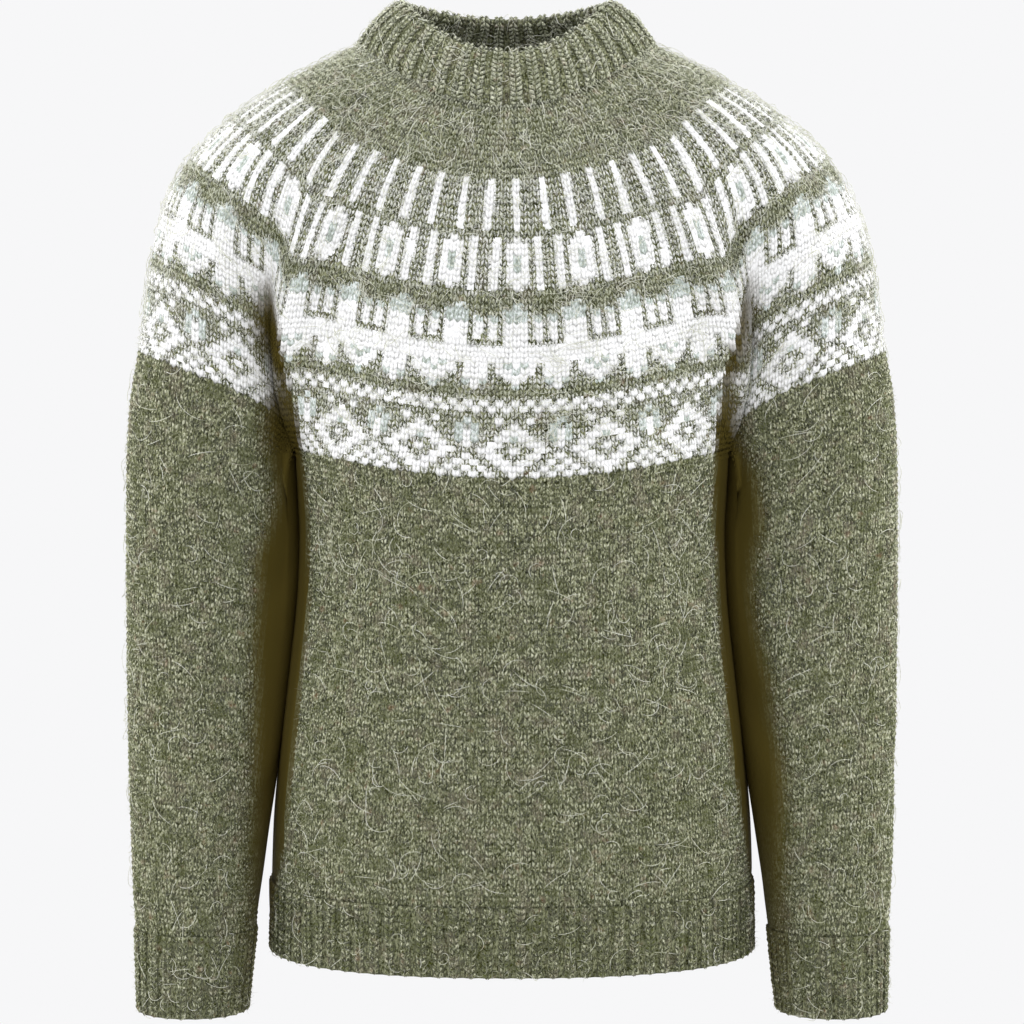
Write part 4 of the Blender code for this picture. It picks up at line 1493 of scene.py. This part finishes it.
@dataclass
class LooseFibres:
    """The bloom of a woollen yarn: short fibres all over, and long stray hairs that lie on it.

    Args:
        loom: What makes its meshes.
        grounds: Each tube with its stitches, and its share of the fibres and of the hairs.
    """

    loom: Loom
    grounds: Sequence[tuple[str, Tube, Knit, float, float]]

    def build(self) -> None:
        """Make the fibres and the hairs of every tube."""
        for name, tube, knit, fuzz_share, hair_share in self.grounds:
            pieces = [self._fuzz(name + "_fuzz", tube, knit, int(FUZZ_COUNT * fuzz_share))]
            hairs = int(HAIR_COUNT * hair_share)
            if hairs:
                pieces.append(self._hairs(name + "_stray_hairs", tube, hairs))
            for piece in pieces:
                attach(piece, "root")
                log.info("%s: %d faces", piece.name, len(piece.data.polygons))

    def _fuzz(self, name: str, tube: Tube, knit: Knit, count: int) -> bpy.types.Object:
        """Short straight fibres that lean every way.

        Args:
            name: The piece's name.
            tube: The surface that they grow on.
            knit: The stitches that they grow from.
            count: How many.

        Returns:
            The object.
        """
        random = self.loom.random
        chosen = random.integers(0, len(knit.turn), count)
        turn = knit.turn[chosen] + random.uniform(-0.5, 0.5, count) * knit.width[chosen]
        drop = np.clip(knit.drop[chosen] + random.uniform(-0.5, 0.5, count) * knit.height[chosen], 0.0, 1.0)
        root = tube.at(turn, drop, knit.lift[chosen] + 0.0004)
        # No fibres stand in the painted shade between arm and body
        clear_of_painted_shade = arm_shade(root) < 0.35
        chosen, turn, drop, root = chosen[clear_of_painted_shade], turn[clear_of_painted_shade], drop[clear_of_painted_shade], root[clear_of_painted_shade]
        count = len(chosen)
        out = unit(tube.at(turn, drop, 1.0) - tube.at(turn, drop, 0.0))
        lean = unit(random.normal(size=(count, 3)))
        way = unit(out * random.uniform(0.25, 1.0, count)[:, None] + lean * 0.9)
        way = np.where((np.sum(way * out, axis=1) < 0.1)[:, None], unit(way + out), way)
        length = random.uniform(0.0022, 0.0062, count)[:, None]
        beside = unit(np.cross(way, out + lean * 0.01))
        across = np.cross(way, beside)
        radius = 0.00012
        corners = [root + radius * (beside * math.cos(a) + across * math.sin(a)) for a in (0.0, 2.094, 4.189)]
        points = np.stack([*corners, root + way * length], axis=1).reshape(-1, 3)
        solid = np.array([(0, 2, 1), (0, 1, 3), (1, 2, 3), (2, 0, 3)])
        faces = (np.arange(count)[:, None, None] * 4 + solid[None]).reshape(-1, 3)
        places = np.array([(0.05, 0.05), (0.5, 0.3), (0.95, 0.05), (0.5, 0.95)])
        return self._fibres(name, points, faces, places[solid], count, knit.yarn[chosen])

    def _hairs(self, name: str, tube: Tube, count: int) -> bpy.types.Object:
        """Long fine hairs that curl over the surface.

        Args:
            name: The piece's name.
            tube: The surface that they lie on.
            count: How many.

        Returns:
            The object.
        """
        random = self.loom.random
        steps = 7
        girth = float(tube.girth(np.array([0.5]))[0])
        length = tube.length()
        heading = random.uniform(0.0, 2 * np.pi, count)
        curl = random.normal(0.0, 0.42, count)
        stride = random.uniform(0.0018, 0.0046, count)
        turn = [random.random(count)]
        drop = [random.uniform(0.02, 0.98, count)]
        for step in range(steps - 1):
            way = heading + curl * step
            turn.append(turn[-1] + np.cos(way) * stride / girth)
            drop.append(drop[-1] + np.sin(way) * stride / length)
        turn = np.stack(turn, axis=1)
        drop = np.clip(np.stack(drop, axis=1), -0.02, 1.02)
        arch = np.sin(np.linspace(0.0, np.pi, steps))[None, :]
        lift = 0.0012 + arch * random.uniform(0.0005, 0.0035, count)[:, None]
        line = tube.at(turn, drop, lift)
        # No hairs cross the painted shade between arm and body
        clear_of_painted_shade = arm_shade(line).max(axis=1) < 0.35
        turn, drop, lift, line = turn[clear_of_painted_shade], drop[clear_of_painted_shade], lift[clear_of_painted_shade], line[clear_of_painted_shade]
        count = len(line)
        out = unit(tube.at(turn, drop, lift + 0.001) - line)
        run = unit(np.gradient(line, axis=1))
        beside = unit(np.cross(run, out))
        across = np.cross(run, beside)
        thin = 0.00019
        middle = slice(1, steps - 1)
        rings = [line[:, middle] + thin * (beside[:, middle] * math.cos(a) + across[:, middle] * math.sin(a)) for a in (0.0, 2.094, 4.189)]
        rings = np.stack(rings, axis=2).reshape(count, -1, 3)
        points = np.concatenate((line[:, :1], rings, line[:, -1:]), axis=1).reshape(-1, 3)
        last = 3 * (steps - 2) + 1
        solid = [(0, 1 + side, 1 + (side + 1) % 3) for side in range(3)]
        for ring in range(steps - 3):
            for side in range(3):
                a, b = 1 + ring * 3 + side, 1 + ring * 3 + (side + 1) % 3
                solid += [(a, a + 3, b), (b, a + 3, b + 3)]
        solid += [(last, last - 3 + (side + 1) % 3, last - 3 + side) for side in range(3)]
        solid = np.array(solid)
        faces = (np.arange(count)[:, None, None] * (last + 1) + solid[None]).reshape(-1, 3)
        v = np.concatenate(([0.02], np.repeat(np.linspace(0.1, 0.9, steps - 2), 3), [0.98]))
        u = np.concatenate(([0.5], np.tile([0.1, 0.5, 0.9], steps - 2), [0.5]))
        return self._fibres(name, points, faces, np.stack([u, v], axis=1)[solid], count, np.zeros(count))

    def _fibres(self, name: str, points: np.ndarray, faces: np.ndarray, places: np.ndarray, count: int, yarn: np.ndarray) -> bpy.types.Object:
        """A mesh of many alike fibres, each with a cell of the map."""
        side = math.ceil(math.sqrt(count))
        cell = np.stack([np.arange(count) % side, np.arange(count) // side], axis=1)[:, None, None, :]
        uvs = ((cell + places[None]) / side).reshape(-1, 3, 2)
        middles = points.reshape(count, -1, 3).mean(axis=1)
        # Each fibre carries how deep it lies in the shade painted between arm and body
        each = {
            "yarn": yarn,
            "tone": self.loom.random.random(count),
            "bloom": np.zeros(count),
            "shade": arm_shade(middles),
        }
        carried = {label: np.repeat(values, len(places)) for label, values in each.items()}
        return self.loom.mesh(name, points, faces, uvs, carried, self.loom.fibre)


# ---------------------------------------------------------------- studio


@dataclass(frozen=True)
class Studio:
    """A pale seamless studio with soft light all round, and the camera.

    Args:
        distance: From the camera to the point that it looks at, in metres.
        elevation_deg: How far above the level the camera stands.
        aim_z: Height of the point that it looks at.
        lens_mm: Focal length on a 36 mm sensor.
        floor_z: Height of the floor.
    """

    distance: float = 3.0
    elevation_deg: float = 5.0
    aim_z: float = -0.2819
    lens_mm: float = 150.67
    floor_z: float = -1.10

    def build(self) -> None:
        """Make floor, world, lights and camera, with colours shown as they are."""
        bpy.context.scene.view_settings.view_transform = "Standard"
        self._floor()
        self._world()
        self._light("key_softbox", (0.6, -2.2, 1.7), 1.6, 14.0)
        self._light("fill_softbox", (-1.8, -1.9, 0.5), 1.8, 4.0)
        self._light("top_softbox", (0.0, 0.1, 2.2), 1.8, 20.0)
        self._light("left_rim_softbox", (2.2, 0.1, 0.3), 1.4, 26.0)
        self._light("right_rim_softbox", (-2.2, 0.1, 0.3), 1.4, 26.0)
        self._camera()

    def _floor(self) -> None:
        """A floor as pale as the air behind it, so that no line shows between them."""
        bpy.ops.object.select_all(action="DESELECT")
        bpy.ops.mesh.primitive_plane_add(size=60.0, location=(0.0, 0.0, self.floor_z))
        floor = bpy.context.object
        floor.name = "studio_floor"
        made = MaterialTree("pale_studio_floor")
        made.shader.inputs["Base Color"].default_value = (0.0, 0.0, 0.0, 1.0)
        made.shader.inputs["Specular IOR Level"].default_value = 0.0
        made.shader.inputs["Emission Color"].default_value = linear("f7f7f8")
        made.shader.inputs["Emission Strength"].default_value = 1.0
        floor.data.materials.append(made.material)

    def _world(self) -> None:
        """Even pale light from everywhere."""
        world = bpy.data.worlds.new("studio_air")
        bpy.context.scene.world = world
        world.use_nodes = True
        sky = world.node_tree.nodes["Background"]
        sky.inputs["Color"].default_value = linear("f7f7f8")
        sky.inputs["Strength"].default_value = 1.0

    def _light(self, name: str, place: tuple[float, float, float], size: float, power: float) -> None:
        """A square soft box that looks at the pullover."""
        bpy.ops.object.select_all(action="DESELECT")
        bpy.ops.object.light_add(type="AREA", location=place)
        light = bpy.context.object
        light.name = name
        light.data.size = size
        light.data.energy = power
        way = Vector((0.0, 0.0, self.aim_z)) - Vector(place)
        light.rotation_euler = way.to_track_quat("-Z", "Y").to_euler()

    def _camera(self) -> None:
        """The camera, where the photograph was taken from."""
        tilt = math.radians(self.elevation_deg)
        away = Vector((0.0, -math.cos(tilt), math.sin(tilt)))
        data = bpy.data.cameras.new("front_camera")
        camera = bpy.data.objects.new("front_camera", data)
        bpy.context.scene.collection.objects.link(camera)
        camera.location = Vector((0.0, 0.0, self.aim_z)) + away * self.distance
        camera.rotation_euler = (-away).to_track_quat("-Z", "Y").to_euler()
        data.sensor_width = 36.0
        data.lens = self.lens_mm
        data.clip_end = 100.0
        bpy.context.scene.camera = camera


def main() -> None:
    """Build the pullover and the studio."""
    logging.basicConfig(level=logging.INFO, format="%(message)s")
    form = PulloverForm()
    loom = Loom()
    knitter = Knitter(loom.random)
    olive, pattern = "olive_heather_wool", "yoke_pattern_wool"
    yoke = Yoke("yoke", pattern, form.yoke(), loom, knitter)
    body = Body("body", olive, form.body(), loom, knitter)
    left = Sleeve("sleeve_left", olive, form.sleeve("left"), loom, knitter)
    right = Sleeve("sleeve_right", olive, form.sleeve("right"), loom, knitter)
    hem = Rib("hem_rib", olive, form.hem(), loom, knitter, HEM_RIBS, HEM_COURSES, "body_fabric")
    cuff_left = Rib("cuff_left", olive, form.cuff("left"), loom, knitter, CUFF_RIBS, CUFF_COURSES, "sleeve_left_fabric")
    cuff_right = Rib("cuff_right", olive, form.cuff("right"), loom, knitter, CUFF_RIBS, CUFF_COURSES, "sleeve_right_fabric")
    neck = Rib("neckband", olive, form.neckband(), loom, knitter, NECK_RIBS, NECK_COURSES, "yoke_fabric", 0.0018, 26, 0.0, 0.20)
    grounds = [
        ("yoke", yoke.tube, yoke.build(), 0.38, 0.66),
        ("body", body.tube, body.build(), 0.26, 0.16),
        ("sleeve_left", left.tube, left.build(), 0.13, 0.060),
        ("sleeve_right", right.tube, right.build(), 0.13, 0.060),
        ("hem_rib", hem.tube, hem.build(), 0.04, 0.02),
        ("cuff_left", cuff_left.tube, cuff_left.build(), 0.02, 0.01),
        ("cuff_right", cuff_right.tube, cuff_right.build(), 0.02, 0.01),
        ("neckband", neck.tube, neck.build(), 0.04, 0.04),
    ]
    LooseFibres(loom, grounds).build()
    Studio().build()


if __name__ == "__main__":
    main()
